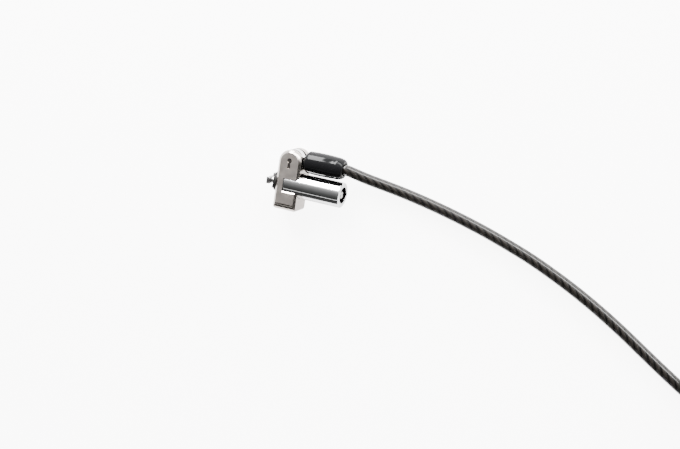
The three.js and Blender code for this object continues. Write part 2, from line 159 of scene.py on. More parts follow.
route = CABLE_ROUTE + coil_points() + [(x, y, LOOP_HEIGHT) for x, y in TAIL_ROUTE]
print("route points:", len(route))

# %% [markdown]
# The route's points are joined by a smooth curve that passes through each of them, and the
# curve is cut into equal steps, so that the pattern on the cable has the same scale all along.


# %% A smooth path in equal steps
def smoothed(points, parts=6):
    """A Catmull-Rom curve through the points."""
    ends = [points[0], *points, points[-1]]
    corners = [Vector(p) for p in ends]
    path = []
    for a, b, c, d in zip(corners, corners[1:], corners[2:], corners[3:]):
        for i in range(parts):
            t = i / parts
            path.append(0.5 * (
                2 * b + (c - a) * t + (2 * a - 5 * b + 4 * c - d) * t**2
                + (3 * b - a - 3 * c + d) * t**3
            ))
    path.append(corners[-1])
    return path


def in_equal_steps(path, step):
    """The same path with its points a fixed distance apart, ends kept."""
    lengths = [(b - a).length for a, b in zip(path, path[1:])]
    count = max(2, round(sum(lengths) / step))
    stride = sum(lengths) / count
    even = [path[0].copy()]
    travelled = 0.0
    for a, b, length in zip(path, path[1:], lengths):
        while len(even) < count and travelled + length >= stride * len(even):
            even.append(a.lerp(b, (stride * len(even) - travelled) / length))
        travelled += length
    even.append(path[-1].copy())
    return even, stride


cable_path, cable_stride = in_equal_steps(smoothed(route), CABLE_STEP)
cable_length = cable_stride * (len(cable_path) - 1)
print("cable length, mm:", round(cable_length, 1))

# %% [markdown]
# Every new piece goes through the same last steps: its doubles are merged, its faces are
# turned outwards, its soft edges are shaded smooth, and it is scaled to metres. Then the
# frame learns which body it rides on and which CAD nodes it stands for.


# %% Finish a piece
SMOOTH_BELOW = math.radians(32)
SAME_POINT = 1e-4
materials = {}


def link(name, mesh, body, nodes):
    piece = bpy.data.objects.new(name, mesh)
    bpy.context.scene.collection.objects.link(piece)
    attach(piece, body)
    if nodes:
        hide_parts(*nodes)
    return piece


def finish_mesh(bm, name):
    """The bmesh as a clean mesh, still in millimetres."""
    bmesh.ops.remove_doubles(bm, verts=bm.verts, dist=SAME_POINT)
    bmesh.ops.recalc_face_normals(bm, faces=bm.faces)
    mesh = bpy.data.meshes.new(name)
    bm.to_mesh(mesh)
    bm.free()
    mesh.shade_smooth()
    mesh.set_sharp_from_angle(angle=SMOOTH_BELOW)
    return mesh


def make_piece(bm, name, body, nodes):
    mesh = finish_mesh(bm, name)
    mesh.transform(Matrix.Scale(MM, 4))
    piece = link(name, mesh, body, nodes)
    print(name, len(mesh.polygons), "faces")
    return piece


# %% [markdown]
# A cable is easiest to make as a curve with a round bevel: Blender sweeps the circle without
# twisting it. The curve is then turned into a mesh, because the mesh comes with a UV map that
# runs once across for the cable's whole length and once up for each turn round it. The strand
# pattern needs both.


# %% A tube along a path
def tube_mesh(name, path, radius, sides):
    curve = bpy.data.curves.new(name, "CURVE")
    curve.dimensions = "3D"
    curve.bevel_depth = radius
    curve.bevel_resolution = sides // 2 - 2
    curve.use_fill_caps = True
    spline = curve.splines.new("POLY")
    spline.points.add(len(path) - 1)
    for point, place in zip(spline.points, path):
        point.co = (*place, 1)
    swept = bpy.data.objects.new(name + "_curve", curve)
    bpy.context.scene.collection.objects.link(swept)
    depsgraph = bpy.context.evaluated_depsgraph_get()
    mesh = bpy.data.meshes.new_from_object(swept.evaluated_get(depsgraph))
    bpy.data.objects.remove(swept)
    mesh.name = name
    mesh.shade_smooth()
    mesh.set_sharp_from_angle(angle=SMOOTH_BELOW)
    mesh.transform(Matrix.Scale(MM, 4))
    print(name, len(mesh.polygons), "faces, UV map", mesh.uv_layers[0].name)
    return mesh


# %% [markdown]
# The far end is a loop as wide as two fingers. The cable turns back on itself and both ends
# go into one crimped sleeve. The loop follows a few points on one side and the same points
# mirrored on the other.

# %% The cable and its loop
CABLE_SIDES = 24
SLEEVE_LOW, SLEEVE_HIGH = box("loop_sleeve")
SLEEVE_MIDDLE = (SLEEVE_LOW + SLEEVE_HIGH) / 2
LOOP_GAP = 0.3
LOOP_SIDE = [
    (0, 2.35), (1.5, 2.38), (6, 3.5), (13, 7.2), (21, 10.9), (29.5, 12.2), (36, 10.6), (40.4, 6.2),
]
LOOP_FAR = 41.8

loop_start = SLEEVE_HIGH.x + LOOP_GAP
half = [(loop_start + along, aside) for along, aside in LOOP_SIDE]
loop_points = half + [(loop_start + LOOP_FAR, 0)] + [(x, -y) for x, y in reversed(half)]
loop_path, loop_stride = in_equal_steps(
    smoothed([(x, SLEEVE_MIDDLE.y + y, LOOP_HEIGHT) for x, y in loop_points]), LOOP_STEP,
)
cable_mesh = tube_mesh("cable", cable_path, CABLE_WIDE / 2, CABLE_SIDES)
cable_nodes = ["cable_lead", "cable_coil", "cable_tail"]
cable = link("cable", cable_mesh, "cable", cable_nodes)
loop_mesh = tube_mesh("end_loop", loop_path, CABLE_WIDE / 2, CABLE_SIDES)
link("end_loop", loop_mesh, "cable", ["cable_loop"])

# %% [markdown]
# Turned parts are what a lathe makes: a profile of a few corners, spun once round its axis.
# A profile point is a place along the axis and a radius. Its sharp rims are beveled after the
# spin, because no real edge is perfectly sharp, and a narrow rounded rim is what catches the
# light on polished metal.

# %% Turned pieces
ROUND_STEPS = 96
ALONG_X = Matrix.Rotation(math.radians(90), 4, "Y")


def turned(profile, centre, along_x=True, steps=ROUND_STEPS):
    """A profile of (place, radius) spun about an axis along X, or upright, through centre."""
    bm = bmesh.new()
    verts = [bm.verts.new((radius, 0, place)) for place, radius in profile]
    edges = [bm.edges.new(pair) for pair in zip(verts, verts[1:])]
    if profile[0][1] > 0:
        edges.append(bm.edges.new((verts[-1], verts[0])))
    bmesh.ops.spin(
        bm, geom=verts + edges, cent=(0, 0, 0), axis=(0, 0, 1), angle=2 * math.pi,
        steps=steps, use_merge=True,
    )
    bmesh.ops.remove_doubles(bm, verts=bm.verts, dist=SAME_POINT)
    if along_x:
        bmesh.ops.transform(bm, matrix=ALONG_X, verts=bm.verts)
    bmesh.ops.translate(bm, vec=centre, verts=bm.verts)
    bmesh.ops.recalc_face_normals(bm, faces=bm.faces)
    return bm


def soften(bm, width, where=None, segments=3, sharper_than=30):
    """Rounds the edges sharper than an angle, all of them or those that a test picks."""
    limit = math.radians(sharper_than)
    edges = [
        edge for edge in bm.edges
        if len(edge.link_faces) == 2 and edge.calc_face_angle(0) > limit
        and (where is None or all(where(v.co) for v in edge.verts))
    ]
    bmesh.ops.bevel(
        bm, geom=edges, offset=width, affect="EDGES", segments=segments, profile=0.5,
        material=-1, clamp_overlap=True,
    )


print("round steps:", ROUND_STEPS)

# %% [markdown]
# Where a piece has holes and slots, they are cut with a boolean, as a drill or a mill would.
# Each cutter is a small closed mesh: a bar along X, an upright bar, or a box. The result gets
# a fine bevel on every new edge and weighted normals, so that flat faces stay flat in the
# light while the rims curve.


# %% Cutters and cutting
def bar_x(x0, x1, radius, y, z, steps=64):
    return turned([(x0, 0), (x0, radius), (x1, radius), (x1, 0)], (0, y, z), steps=steps)


def bar_up(z0, z1, radius, x, y, steps=64):
    return turned([(z0, 0), (z0, radius), (z1, radius), (z1, 0)], (x, y, 0), False, steps)


def brick(x0, x1, y0, y1, z0, z1):
    bm = bmesh.new()
    size = Matrix.Diagonal((x1 - x0, y1 - y0, z1 - z0, 1))
    place = Matrix.Translation(((x0 + x1) / 2, (y0 + y1) / 2, (z0 + z1) / 2))
    bmesh.ops.create_cube(bm, size=1, matrix=place @ size)
    return bm


def as_object(bm, name):
    mesh = bpy.data.meshes.new(name)
    bm.to_mesh(mesh)
    bm.free()
    made = bpy.data.objects.new(name, mesh)
    bpy.context.scene.collection.objects.link(made)
    return made


WELD_WITHIN = 0.004


def carved(bm, name, cuts=(), joins=(), edge=0.12, segments=2, angle=28):
    """The solid with pieces joined on, then cut out, and every edge finely rounded."""
    blank = as_object(bm, name + "_blank")
    tools = []
    steps = [("UNION", tool) for tool in joins] + [("DIFFERENCE", tool) for tool in cuts]
    for operation, tool in steps:
        tools.append(as_object(tool, name + "_tool"))
        cut = blank.modifiers.new("cut", "BOOLEAN")
        cut.operation = operation
        cut.object = tools[-1]
        cut.solver = "EXACT"
    weld = blank.modifiers.new("weld", "WELD")
    weld.merge_threshold = WELD_WITHIN
    rim = blank.modifiers.new("rim", "BEVEL")
    rim.width = edge
    rim.segments = segments
    rim.limit_method = "ANGLE"
    rim.angle_limit = math.radians(angle)
    rim.use_clamp_overlap = True
    rim.miter_outer = "MITER_ARC"
    depsgraph = bpy.context.evaluated_depsgraph_get()
    mesh = bpy.data.meshes.new_from_object(blank.evaluated_get(depsgraph))
    for used in [blank, *tools]:
        bpy.data.objects.remove(used)
    carved_bm = bmesh.new()
    carved_bm.from_mesh(mesh)
    bpy.data.meshes.remove(mesh)
    return carved_bm


def weigh_normals(piece):
    """Large faces set the shading, so a flat face next to a fine bevel looks flat."""
    weigh = piece.modifiers.new("weigh", "WEIGHTED_NORMAL")
    weigh.mode = "FACE_AREA"
    weigh.weight = 80
    weigh.keep_sharp = True


# %% [markdown]
# The head is a zinc casting: a flat block with parallel sides, a round lug at one end and a
# rounded lower edge. Its outline starts as one vertex that is spun half a turn about the
# lug's centre. Two more corners close it, and the face is extruded to the full thickness.
# The badge face has a wide chamfer all round, which the light draws as a thin bright line.

# %% The head's blank
HEAD_LOW, HEAD_HIGH = box("lock_body")
LUG_RADIUS = (HEAD_HIGH.x - HEAD_LOW.x) / 2
LUG_X = (HEAD_HIGH.x + HEAD_LOW.x) / 2
LUG_Y = HEAD_HIGH.y - LUG_RADIUS
PIVOT = middle("pivot_pin")
AXIS = middle("barrel_shell")
CORNER = 1.4
FACE_CHAMFER = 1
BACK_CHAMFER = 0.4
LOWER_ROUND = 3.2
BEYOND = 30


def head_blank():
    bm = bmesh.new()
    start = bm.verts.new((HEAD_HIGH.x, LUG_Y, HEAD_LOW.z))
    arc = bmesh.ops.spin(
        bm, geom=[start], cent=(LUG_X, LUG_Y, HEAD_LOW.z), axis=(0, 0, 1), angle=math.pi, steps=48,
    )
    end = next(v for v in arc["geom_last"] if isinstance(v, bmesh.types.BMVert))
    left = bm.verts.new((HEAD_LOW.x, HEAD_LOW.y, HEAD_LOW.z))
    right = bm.verts.new((HEAD_HIGH.x, HEAD_LOW.y, HEAD_LOW.z))
    for pair in ((end, left), (left, right), (right, start)):
        bm.edges.new(pair)
    bmesh.ops.edgeloop_fill(bm, edges=bm.edges)
    raised = bmesh.ops.extrude_face_region(bm, geom=bm.faces[:])["geom"]
    tops = [v for v in raised if isinstance(v, bmesh.types.BMVert)]
    bmesh.ops.translate(bm, vec=(0, 0, HEAD_HIGH.z - HEAD_LOW.z), verts=tops)
    bmesh.ops.recalc_face_normals(bm, faces=bm.faces)
    return bm


def edges_where(bm, test):
    return [e for e in bm.edges if all(test(v.co) for v in e.verts)]


def bevel(bm, edges, width, segments):
    bmesh.ops.bevel(
        bm, geom=edges, offset=width, affect="EDGES", segments=segments, profile=0.5, material=-1,
    )


head = head_blank()
upright_corners = [
    e for e in edges_where(head, lambda c: c.y < HEAD_LOW.y + 0.01)
    if abs(e.verts[0].co.z - e.verts[1].co.z) > 1
]
bevel(head, upright_corners, CORNER, 8)
bevel(head, edges_where(head, lambda c: c.z > HEAD_HIGH.z - 0.01), FACE_CHAMFER, 1)
bevel(head, edges_where(head, lambda c: c.z < HEAD_LOW.z + 0.01), BACK_CHAMFER, 1)
print("head blank:", len(head.faces), "faces")

# %% [markdown]
# What is cut from the head: the bore for the key cylinder, which breaks through the badge
# face as a window; a sloping lip along the window's lower side; the rounded corner of the lug
# over the window; the fork that the cable's eye turns in; the nose's bore and seat; the
# rivet's hole; and a plain keyhole sign pressed into the lug, where such locks carry a badge.


# %% The head's cuts
def lower_edge_waste():
    """What is outside the rounding between the lower end and the badge face."""
    y, z = HEAD_LOW.y + LOWER_ROUND, HEAD_HIGH.z - LOWER_ROUND
    bm = bmesh.new()
    start = bm.verts.new((-BEYOND, HEAD_LOW.y, z))
    arc = bmesh.ops.spin(
        bm, geom=[start], cent=(-BEYOND, y, z), axis=(1, 0, 0), angle=-math.pi / 2, steps=12,
    )
    end = next(v for v in arc["geom_last"] if isinstance(v, bmesh.types.BMVert))
    corners = [(y, HEAD_HIGH.z + 1), (HEAD_LOW.y - 1, HEAD_HIGH.z + 1), (HEAD_LOW.y - 1, z)]
    outside = [bm.verts.new((-BEYOND, *corner)) for corner in corners]
    for pair in zip([end, *outside], [*outside, start]):
        bm.edges.new(pair)
    return prism(bm, (2 * BEYOND, 0, 0))


def prism(bm, along):
    """A closed outline of edges, filled and extruded."""
    bmesh.ops.edgeloop_fill(bm, edges=bm.edges)
    raised = bmesh.ops.extrude_face_region(bm, geom=bm.faces[:])["geom"]
    far_side = [v for v in raised if isinstance(v, bmesh.types.BMVert)]
    bmesh.ops.translate(bm, vec=along, verts=far_side)
    bmesh.ops.recalc_face_normals(bm, faces=bm.faces)
    return bm


def outline(corners):
    bm = bmesh.new()
    verts = [bm.verts.new(corner) for corner in corners]
    for pair in zip(verts, verts[1:] + verts[:1]):
        bm.edges.new(pair)
    return bm


CHANNEL_BACK = -8.3
CHANNEL_RADIUS = 5.3
LIP_LOW, LIP_HIGH, LIP_SLOPE = -5.3, -2, 0.65
WINDOW_TOP, WINDOW_CORNER, WINDOW_FLOOR = 0.55, 1.6, 9.2
FORK_LOW, FORK_HIGH, FORK_RADIUS, FORK_OPEN = 3.35, 7.85, 4.3, 1.95
NOSE_BORE, NOSE_SEAT, NOSE_SEAT_X = 1.6, 3.6, -10.35
RIVET_HOLE, RIVET_TOP, RIVET_HEAD, RIVET_SUNK = 1.6, 9.8, 2.3, 1.3


def lip_waste():
    drop = (LIP_HIGH - LIP_LOW) * LIP_SLOPE
    face, over = HEAD_HIGH.z, HEAD_HIGH.z + 1
    corners = [(LIP_LOW, face), (LIP_HIGH, face - drop), (LIP_HIGH, over), (LIP_LOW, over)]
    return prism(outline([(CHANNEL_BACK, y, z) for y, z in corners]), (BEYOND, 0, 0))


def window_corner_waste():
    low = WINDOW_TOP
    x, y = HEAD_HIGH.x - WINDOW_CORNER, low + WINDOW_CORNER
    bm = bmesh.new()
    start = bm.verts.new((x, low, AXIS.z))
    arc = bmesh.ops.spin(
        bm, geom=[start], cent=(x, y, AXIS.z), axis=(0, 0, 1), angle=math.pi / 2, steps=10,
    )
    end = next(v for v in arc["geom_last"] if isinstance(v, bmesh.types.BMVert))
    corners = [(HEAD_HIGH.x + 1, y), (HEAD_HIGH.x + 1, low - 1), (x, low - 1)]
    outside = [bm.verts.new((*corner, AXIS.z)) for corner in corners]
    for pair in zip([end, *outside], [*outside, start]):
        bm.edges.new(pair)
    return prism(bm, (0, 0, HEAD_HIGH.z + 1 - AXIS.z))


KEYHOLE_DEEP = 0.5
KEYHOLE_RADIUS = 1.05
KEYHOLE_Y = LUG_Y + 0.6
SKIRT_LONG, SKIRT_TOP, SKIRT_FOOT = 3.2, 0.35, 0.8


def keyhole_skirt():
    """The flared lower half of the keyhole sign."""
    top, low = KEYHOLE_Y, KEYHOLE_Y - SKIRT_LONG
    corners = [(-SKIRT_TOP, top), (SKIRT_TOP, top), (SKIRT_FOOT, low), (-SKIRT_FOOT, low)]
    depth = HEAD_HIGH.z - KEYHOLE_DEEP
    return prism(outline([(LUG_X + x, y, depth) for x, y in corners]), (0, 0, 1))


head_cuts = [
    lower_edge_waste(),
    lip_waste(),
    window_corner_waste(),
    bar_x(CHANNEL_BACK, BEYOND, CHANNEL_RADIUS, AXIS.y, AXIS.z, 96),
    brick(CHANNEL_BACK, BEYOND, AXIS.y, WINDOW_TOP, WINDOW_FLOOR, BEYOND),
    bar_x(-BEYOND, 0, NOSE_BORE, AXIS.y, AXIS.z, 48),
    bar_x(-BEYOND, NOSE_SEAT_X, NOSE_SEAT, AXIS.y, AXIS.z),
    bar_up(FORK_LOW, FORK_HIGH, FORK_RADIUS, PIVOT.x, PIVOT.y, 96),
    brick(PIVOT.x, BEYOND, PIVOT.y - FORK_OPEN, BEYOND, FORK_LOW, FORK_HIGH),
    brick(-BEYOND, PIVOT.x, PIVOT.y, BEYOND, FORK_LOW, FORK_HIGH),
    bar_up(-1, RIVET_TOP, RIVET_HOLE, PIVOT.x, PIVOT.y, 48),
    bar_up(-1, RIVET_SUNK, RIVET_HEAD, PIVOT.x, PIVOT.y, 48),
    bar_up(HEAD_HIGH.z - KEYHOLE_DEEP, HEAD_HIGH.z + 1, KEYHOLE_RADIUS, LUG_X, KEYHOLE_Y, 48),
    keyhole_skirt(),
]
head = carved(head, "head_casting", cuts=head_cuts)
head_casting = make_piece(head, "head_casting", "head", ["lock_body"])
weigh_normals(head_casting)

# %% [markdown]
# The key cylinder's housing is a polished tube. Its front rim is well rounded, the mouth of
# the keyway has a small lead-in, and a square notch in the rim guides the key.

# %% The cylinder housing
BARREL_LOW, BARREL_HIGH = box("barrel_shell")
BARREL_RADIUS = (BARREL_HIGH.y - BARREL_LOW.y) / 2
CHAMBER, KEYWAY, SHOULDER = 4.35, 3.35, 9
RIM_ROUND = 0.55
NOTCH_DEEP, NOTCH_HALF, NOTCH_REACH = 6, 0.6, 4.3
CROSS_HOLE, CROSS_X = 0.95, -3.6
front = BARREL_HIGH.x

barrel = turned([
    (BARREL_LOW.x, CHAMBER), (BARREL_LOW.x, BARREL_RADIUS), (front, BARREL_RADIUS),
    (front, KEYWAY), (SHOULDER, KEYWAY), (SHOULDER, CHAMBER),
], (0, AXIS.y, AXIS.z), steps=128)


def from_axis(co):
    return math.hypot(co.y - AXIS.y, co.z - AXIS.z)


soften(barrel, RIM_ROUND, lambda c: c.x > front - 0.01 and from_axis(c) > BARREL_RADIUS - 0.01, 6)
soften(barrel, 0.3, lambda c: c.x < BARREL_LOW.x + 0.01 and from_axis(c) > BARREL_RADIUS - 0.01, 3)
barrel = carved(barrel, "cylinder_housing", cuts=[
    brick(front - NOTCH_DEEP, BEYOND, AXIS.y - NOTCH_HALF, AXIS.y + NOTCH_HALF,
          AXIS.z - NOTCH_REACH, AXIS.z - KEYWAY + 1),
    bar_up(-1, AXIS.z, CROSS_HOLE, CROSS_X, AXIS.y, 24),
], edge=0.1, angle=35)
housing = make_piece(barrel, "cylinder_housing", "head", ["barrel_shell"])
weigh_normals(housing)

# %% [markdown]
# The core turns inside the housing. Its bright post stands in the middle of the dark ring
# that a tubular key goes into, and seven pins end in seven holes round it. The eighth place
# is empty. The holes are drilled in a loop.

# %% The core
CORE_LOW, CORE_HIGH = box("key_rotor")
PIN_COUNT, PIN_STEP, PIN_CIRCLE, PIN_HOLE = 7, 45, 2.55, 0.65
SHAFT, SHEAR, FLANGE, FLANGE_FRONT, POST = 1.5, 6, 4.2, 8.8, 1.45
SLOT_WIDE, SLOT_BOTTOM = 1.2, -4.4
FLAT_LONG, FLAT_HALF, FLAT_FROM, FLAT_TO = 4, 0.45, 2, 0.9


def pin_place(i):
    turn = math.radians(PIN_STEP * (i + 1))
    return AXIS.y + PIN_CIRCLE * math.sin(turn), AXIS.z - PIN_CIRCLE * math.cos(turn)


core = turned([
    (CORE_LOW.x, 0), (CORE_LOW.x, SHAFT), (SHEAR, SHAFT), (SHEAR, FLANGE), (FLANGE_FRONT, FLANGE),
    (FLANGE_FRONT, POST), (CORE_HIGH.x, POST), (CORE_HIGH.x, 0),
], (0, AXIS.y, AXIS.z), steps=64)
soften(core, 0.35, lambda c: c.x > CORE_HIGH.x - 0.01, 4)
core_cuts = [
    bar_x(SHEAR - 1, FLANGE_FRONT + 1, PIN_HOLE, *pin_place(i), 20) for i in range(PIN_COUNT)
]
core_cuts.append(brick(
    CORE_LOW.x - 1, SLOT_BOTTOM, AXIS.y - SLOT_WIDE / 2, AXIS.y + SLOT_WIDE / 2, 0, BEYOND,
))
core_cuts.append(brick(
    CORE_HIGH.x - FLAT_LONG, BEYOND, AXIS.y - FLAT_HALF, AXIS.y + FLAT_HALF,
    AXIS.z - FLAT_FROM, AXIS.z - FLAT_TO,
))
core = carved(core, "key_core", cuts=core_cuts, edge=0.06, angle=35)
key_core = make_piece(core, "key_core", "key_core", ["key_rotor"])
weigh_normals(key_core)

# %% [markdown]
# The nose goes into the security slot of a computer. A tee on a round shaft turns behind the
# slot's edges, two prongs on a fixed plate stop the head from turning, and a rubber collar
# keeps the metal off the case.

# %% The nose
TEE_LOW, TEE_HIGH = box("tee_bar")
SHIELD_LOW, SHIELD_HIGH = box("nose_shield")
COLLAR_LOW, COLLAR_HIGH = box("nose_collar")
TEE_THICK, TEE_WIDE, NOSE_SHAFT, NOSE_FLANGE = 1.3, 2.7, 1.3, 2.4
FLANGE_BACK, FLANGE_END, TONGUE_WIDE, TONGUE_THICK = -7.85, -6.45, 2.6, 0.9
PRONG_INNER, PRONG_OUTER, PRONG_HIGH, PLATE_THICK = 1.8, 3.1, 2.4, 0.9
COLLAR_SLOT_WIDE, COLLAR_SLOT_HIGH = 6.8, 3

tee = turned([
    (TEE_LOW.x + 0.6, 0), (TEE_LOW.x + 0.6, NOSE_SHAFT), (FLANGE_BACK, NOSE_SHAFT),
    (FLANGE_BACK, NOSE_FLANGE), (FLANGE_END, NOSE_FLANGE), (FLANGE_END, 0),
], (0, AXIS.y, AXIS.z), steps=48)
tee = carved(tee, "locking_tee", joins=[
    brick(TEE_LOW.x, TEE_LOW.x + TEE_THICK, AXIS.y - TEE_WIDE / 2, AXIS.y + TEE_WIDE / 2,
          TEE_LOW.z, TEE_HIGH.z),
    brick(FLANGE_END - 0.5, TEE_HIGH.x, AXIS.y - TONGUE_THICK / 2, AXIS.y + TONGUE_THICK / 2,
          AXIS.z - TONGUE_WIDE / 2, AXIS.z + TONGUE_WIDE / 2),
], edge=0.22, segments=3)
weigh_normals(make_piece(tee, "locking_tee", "key_core", ["tee_bar"]))

plate_front = SHIELD_HIGH.x - PLATE_THICK
shield = turned([
    (plate_front, NOSE_BORE), (plate_front, SHIELD_HIGH.y - AXIS.y),
    (SHIELD_HIGH.x, SHIELD_HIGH.y - AXIS.y), (SHIELD_HIGH.x, NOSE_BORE),
], (0, AXIS.y, AXIS.z), steps=64)
prongs = [
    brick(SHIELD_LOW.x, SHIELD_HIGH.x - 0.3, AXIS.y + low, AXIS.y + high,
          AXIS.z - PRONG_HIGH / 2, AXIS.z + PRONG_HIGH / 2)
    for low, high in ((PRONG_INNER, PRONG_OUTER), (-PRONG_OUTER, -PRONG_INNER))
]
shield = carved(shield, "nose_plate", joins=prongs, edge=0.15, segments=3)
weigh_normals(make_piece(shield, "nose_plate", "head", ["nose_shield"]))

collar_radius = (COLLAR_HIGH.y - COLLAR_LOW.y) / 2
collar = bar_x(COLLAR_LOW.x, COLLAR_HIGH.x, collar_radius, AXIS.y, AXIS.z, 96)
collar = carved(collar, "rubber_collar", cuts=[
    brick(-BEYOND, 0, AXIS.y - COLLAR_SLOT_WIDE / 2, AXIS.y + COLLAR_SLOT_WIDE / 2,
          AXIS.z - COLLAR_SLOT_HIGH / 2, AXIS.z + COLLAR_SLOT_HIGH / 2),
], edge=0.3, segments=4)
weigh_normals(make_piece(collar, "rubber_collar", "head", ["nose_collar"]))

# %% [markdown]
# The cable's eye sits in the head's fork on a rivet, between two dark washers. Seen from the
# side, the fork and the eye are three bright bands with dark gaps between them. The eye is a
# turned ring with a neck, and a stud on the neck holds the swivel.

# %% The eye, its washers and its rivet
EYE_HIGH = box("cable_eye")[1]
EYE_RADIUS = EYE_HIGH.y - PIVOT.y
EYE_BORE, NECK_HALF, NECK_END = 1.65, 1.7, -1.75
STUD_RADIUS, STUD_HEAD, STUD_BACK = 1.45, 2.3, 3.6
RIVET_LOW, RIVET_HIGH = box("pivot_pin")
EYE_BOTTOM, EYE_TOP = 4.3, 6.9
WASHER_BORE = 1.7
SWIVEL = Vector((0, PIVOT.y, (EYE_BOTTOM + EYE_TOP) / 2))

eye = turned([
    (EYE_BOTTOM, EYE_BORE), (EYE_BOTTOM, EYE_RADIUS), (EYE_TOP, EYE_RADIUS), (EYE_TOP, EYE_BORE),
], (PIVOT.x, PIVOT.y, 0), along_x=False)
neck = brick(
    PIVOT.x + 2, NECK_END, PIVOT.y - NECK_HALF, PIVOT.y + NECK_HALF, EYE_BOTTOM, EYE_TOP,
)
stud = turned([
    (NECK_END - 1, 0), (NECK_END - 1, STUD_RADIUS), (STUD_BACK, STUD_RADIUS),
    (STUD_BACK, STUD_HEAD), (EYE_HIGH.x, STUD_HEAD), (EYE_HIGH.x, 0),
], SWIVEL, steps=48)
eye = carved(eye, "swivel_eye", joins=[neck, stud], edge=0.35, segments=4)
weigh_normals(make_piece(eye, "swivel_eye", "cable", ["cable_eye"]))

for side in ("front", "back"):
    node = f"eye_washer_{side}"
    low, high = box(node)
    washer = turned([
        (low.z, WASHER_BORE), (low.z, high.y - PIVOT.y), (high.z, high.y - PIVOT.y),
        (high.z, WASHER_BORE),
    ], (PIVOT.x, PIVOT.y, 0), along_x=False)
    soften(washer, 0.12)
    make_piece(washer, f"washer_{side}", "head", [node])

RIVET_RADIUS, RIVET_HEAD_RADIUS, RIVET_HEAD_TOP = 1.45, 2.1, 1.1
rivet = turned([
    (RIVET_LOW.z, 0), (RIVET_LOW.z, RIVET_HEAD_RADIUS), (RIVET_HEAD_TOP, RIVET_HEAD_RADIUS),
    (RIVET_HEAD_TOP, RIVET_RADIUS), (RIVET_HIGH.z, RIVET_RADIUS), (RIVET_HIGH.z, 0),
], (PIVOT.x, PIVOT.y, 0), along_x=False, steps=64)
soften(rivet, 0.4, lambda c: c.z < RIVET_LOW.z + 0.01, 5)
make_piece(rivet, "fork_rivet", "head", ["pivot_pin"])

# %% [markdown]
# The sleeve over the swivel is a glossy moulding. It starts with a short cone behind the
# fork, swells a little along its length, which is what ends the reflections of the lamps
# before its ends, and closes in a quarter round where the cable comes out.

# %% The swivel sleeve
BOOT_LOW, BOOT_HIGH = box("cable_boot")
BOOT_RADIUS = (BOOT_HIGH.y - BOOT_LOW.y) / 2
BOOT_NECK, BOOT_CONE, BOOT_END, BOOT_SWELL = 3.6, 1.15, 3.2, 0.2
EYE_HOLE, SOCKET_HOLE, CABLE_HOLE = 2.0, 3.7, 2.6
HOLE_BACK, HOLE_FRONT = -0.2, 12.9


def boot_profile():
    """From the cone to the cable's hole, with the swell and the quarter round as formulas."""
    nose = BOOT_RADIUS - BOOT_END
    straight_from, straight_to = BOOT_LOW.x + BOOT_CONE, BOOT_HIGH.x - 2.4 * nose
    points = [(BOOT_LOW.x, EYE_HOLE), (BOOT_LOW.x, BOOT_NECK)]
    swell_steps = 16
    for i in range(swell_steps + 1):
        share = i / swell_steps
        place = straight_from + (straight_to - straight_from) * share
        points.append((place, BOOT_RADIUS - BOOT_SWELL * (2 * share - 1) ** 2))
    end_radius = BOOT_RADIUS - BOOT_SWELL
    for degrees in range(10, 81, 10):
        turn = math.radians(degrees)
        points.append((
            straight_to + (BOOT_HIGH.x - straight_to) * math.sin(turn),
            BOOT_END + (end_radius - BOOT_END) * math.cos(turn),
        ))
    points += [(BOOT_HIGH.x, BOOT_END), (BOOT_HIGH.x, CABLE_HOLE), (HOLE_FRONT, CABLE_HOLE)]
    points += [(HOLE_FRONT, SOCKET_HOLE), (HOLE_BACK, SOCKET_HOLE), (HOLE_BACK, EYE_HOLE)]
    return points


boot = turned(boot_profile(), SWIVEL, steps=128)
soften(boot, 0.3, lambda c: c.x < BOOT_LOW.x + BOOT_CONE + 0.01, 4, 25)
soften(boot, 0.14, lambda c: c.x > HOLE_FRONT + 0.1, 3, 25)
make_piece(boot, "swivel_sleeve", "boot_sleeve", ["cable_boot"])

# %% [markdown]
# The loop's sleeve is an oval aluminium ferrule. It begins as a tube that is pressed flat
# round two cables, so its outline is two half circles, and the press leaves three shallow
# bands across it.


# %% The ferrule
def rounded_loop(width, height, corner, steps, centre=(0, 0)):
    """Corners of a rounded rectangle in two coordinates, counterclockwise."""
    points = []
    for quarter, (sx, sy) in enumerate(((1, 1), (-1, 1), (-1, -1), (1, -1))):
        for i in range(steps + 1):
            turn = math.radians(90 * (quarter + i / steps))
            points.append((
                centre[0] + sx * (width / 2 - corner) + corner * math.cos(turn),
                centre[1] + sy * (height / 2 - corner) + corner * math.sin(turn),
            ))
    return points


FERRULE_WIDE = SLEEVE_HIGH.y - SLEEVE_LOW.y
FERRULE_HIGH = SLEEVE_HIGH.z - SLEEVE_LOW.z
PRESSED_BANDS = [2.9, 6.5, 10.1]
BAND_HALF, BAND_CORE, BAND_DEEP = 1.1, 0.66, 0.035


def squeeze_at(along):
    """How much the press leaves of the outline at a place along the ferrule."""
    pressed = any(abs(along - band) < BAND_HALF * 0.8 for band in PRESSED_BANDS)
    return 1 - BAND_DEEP if pressed else 1


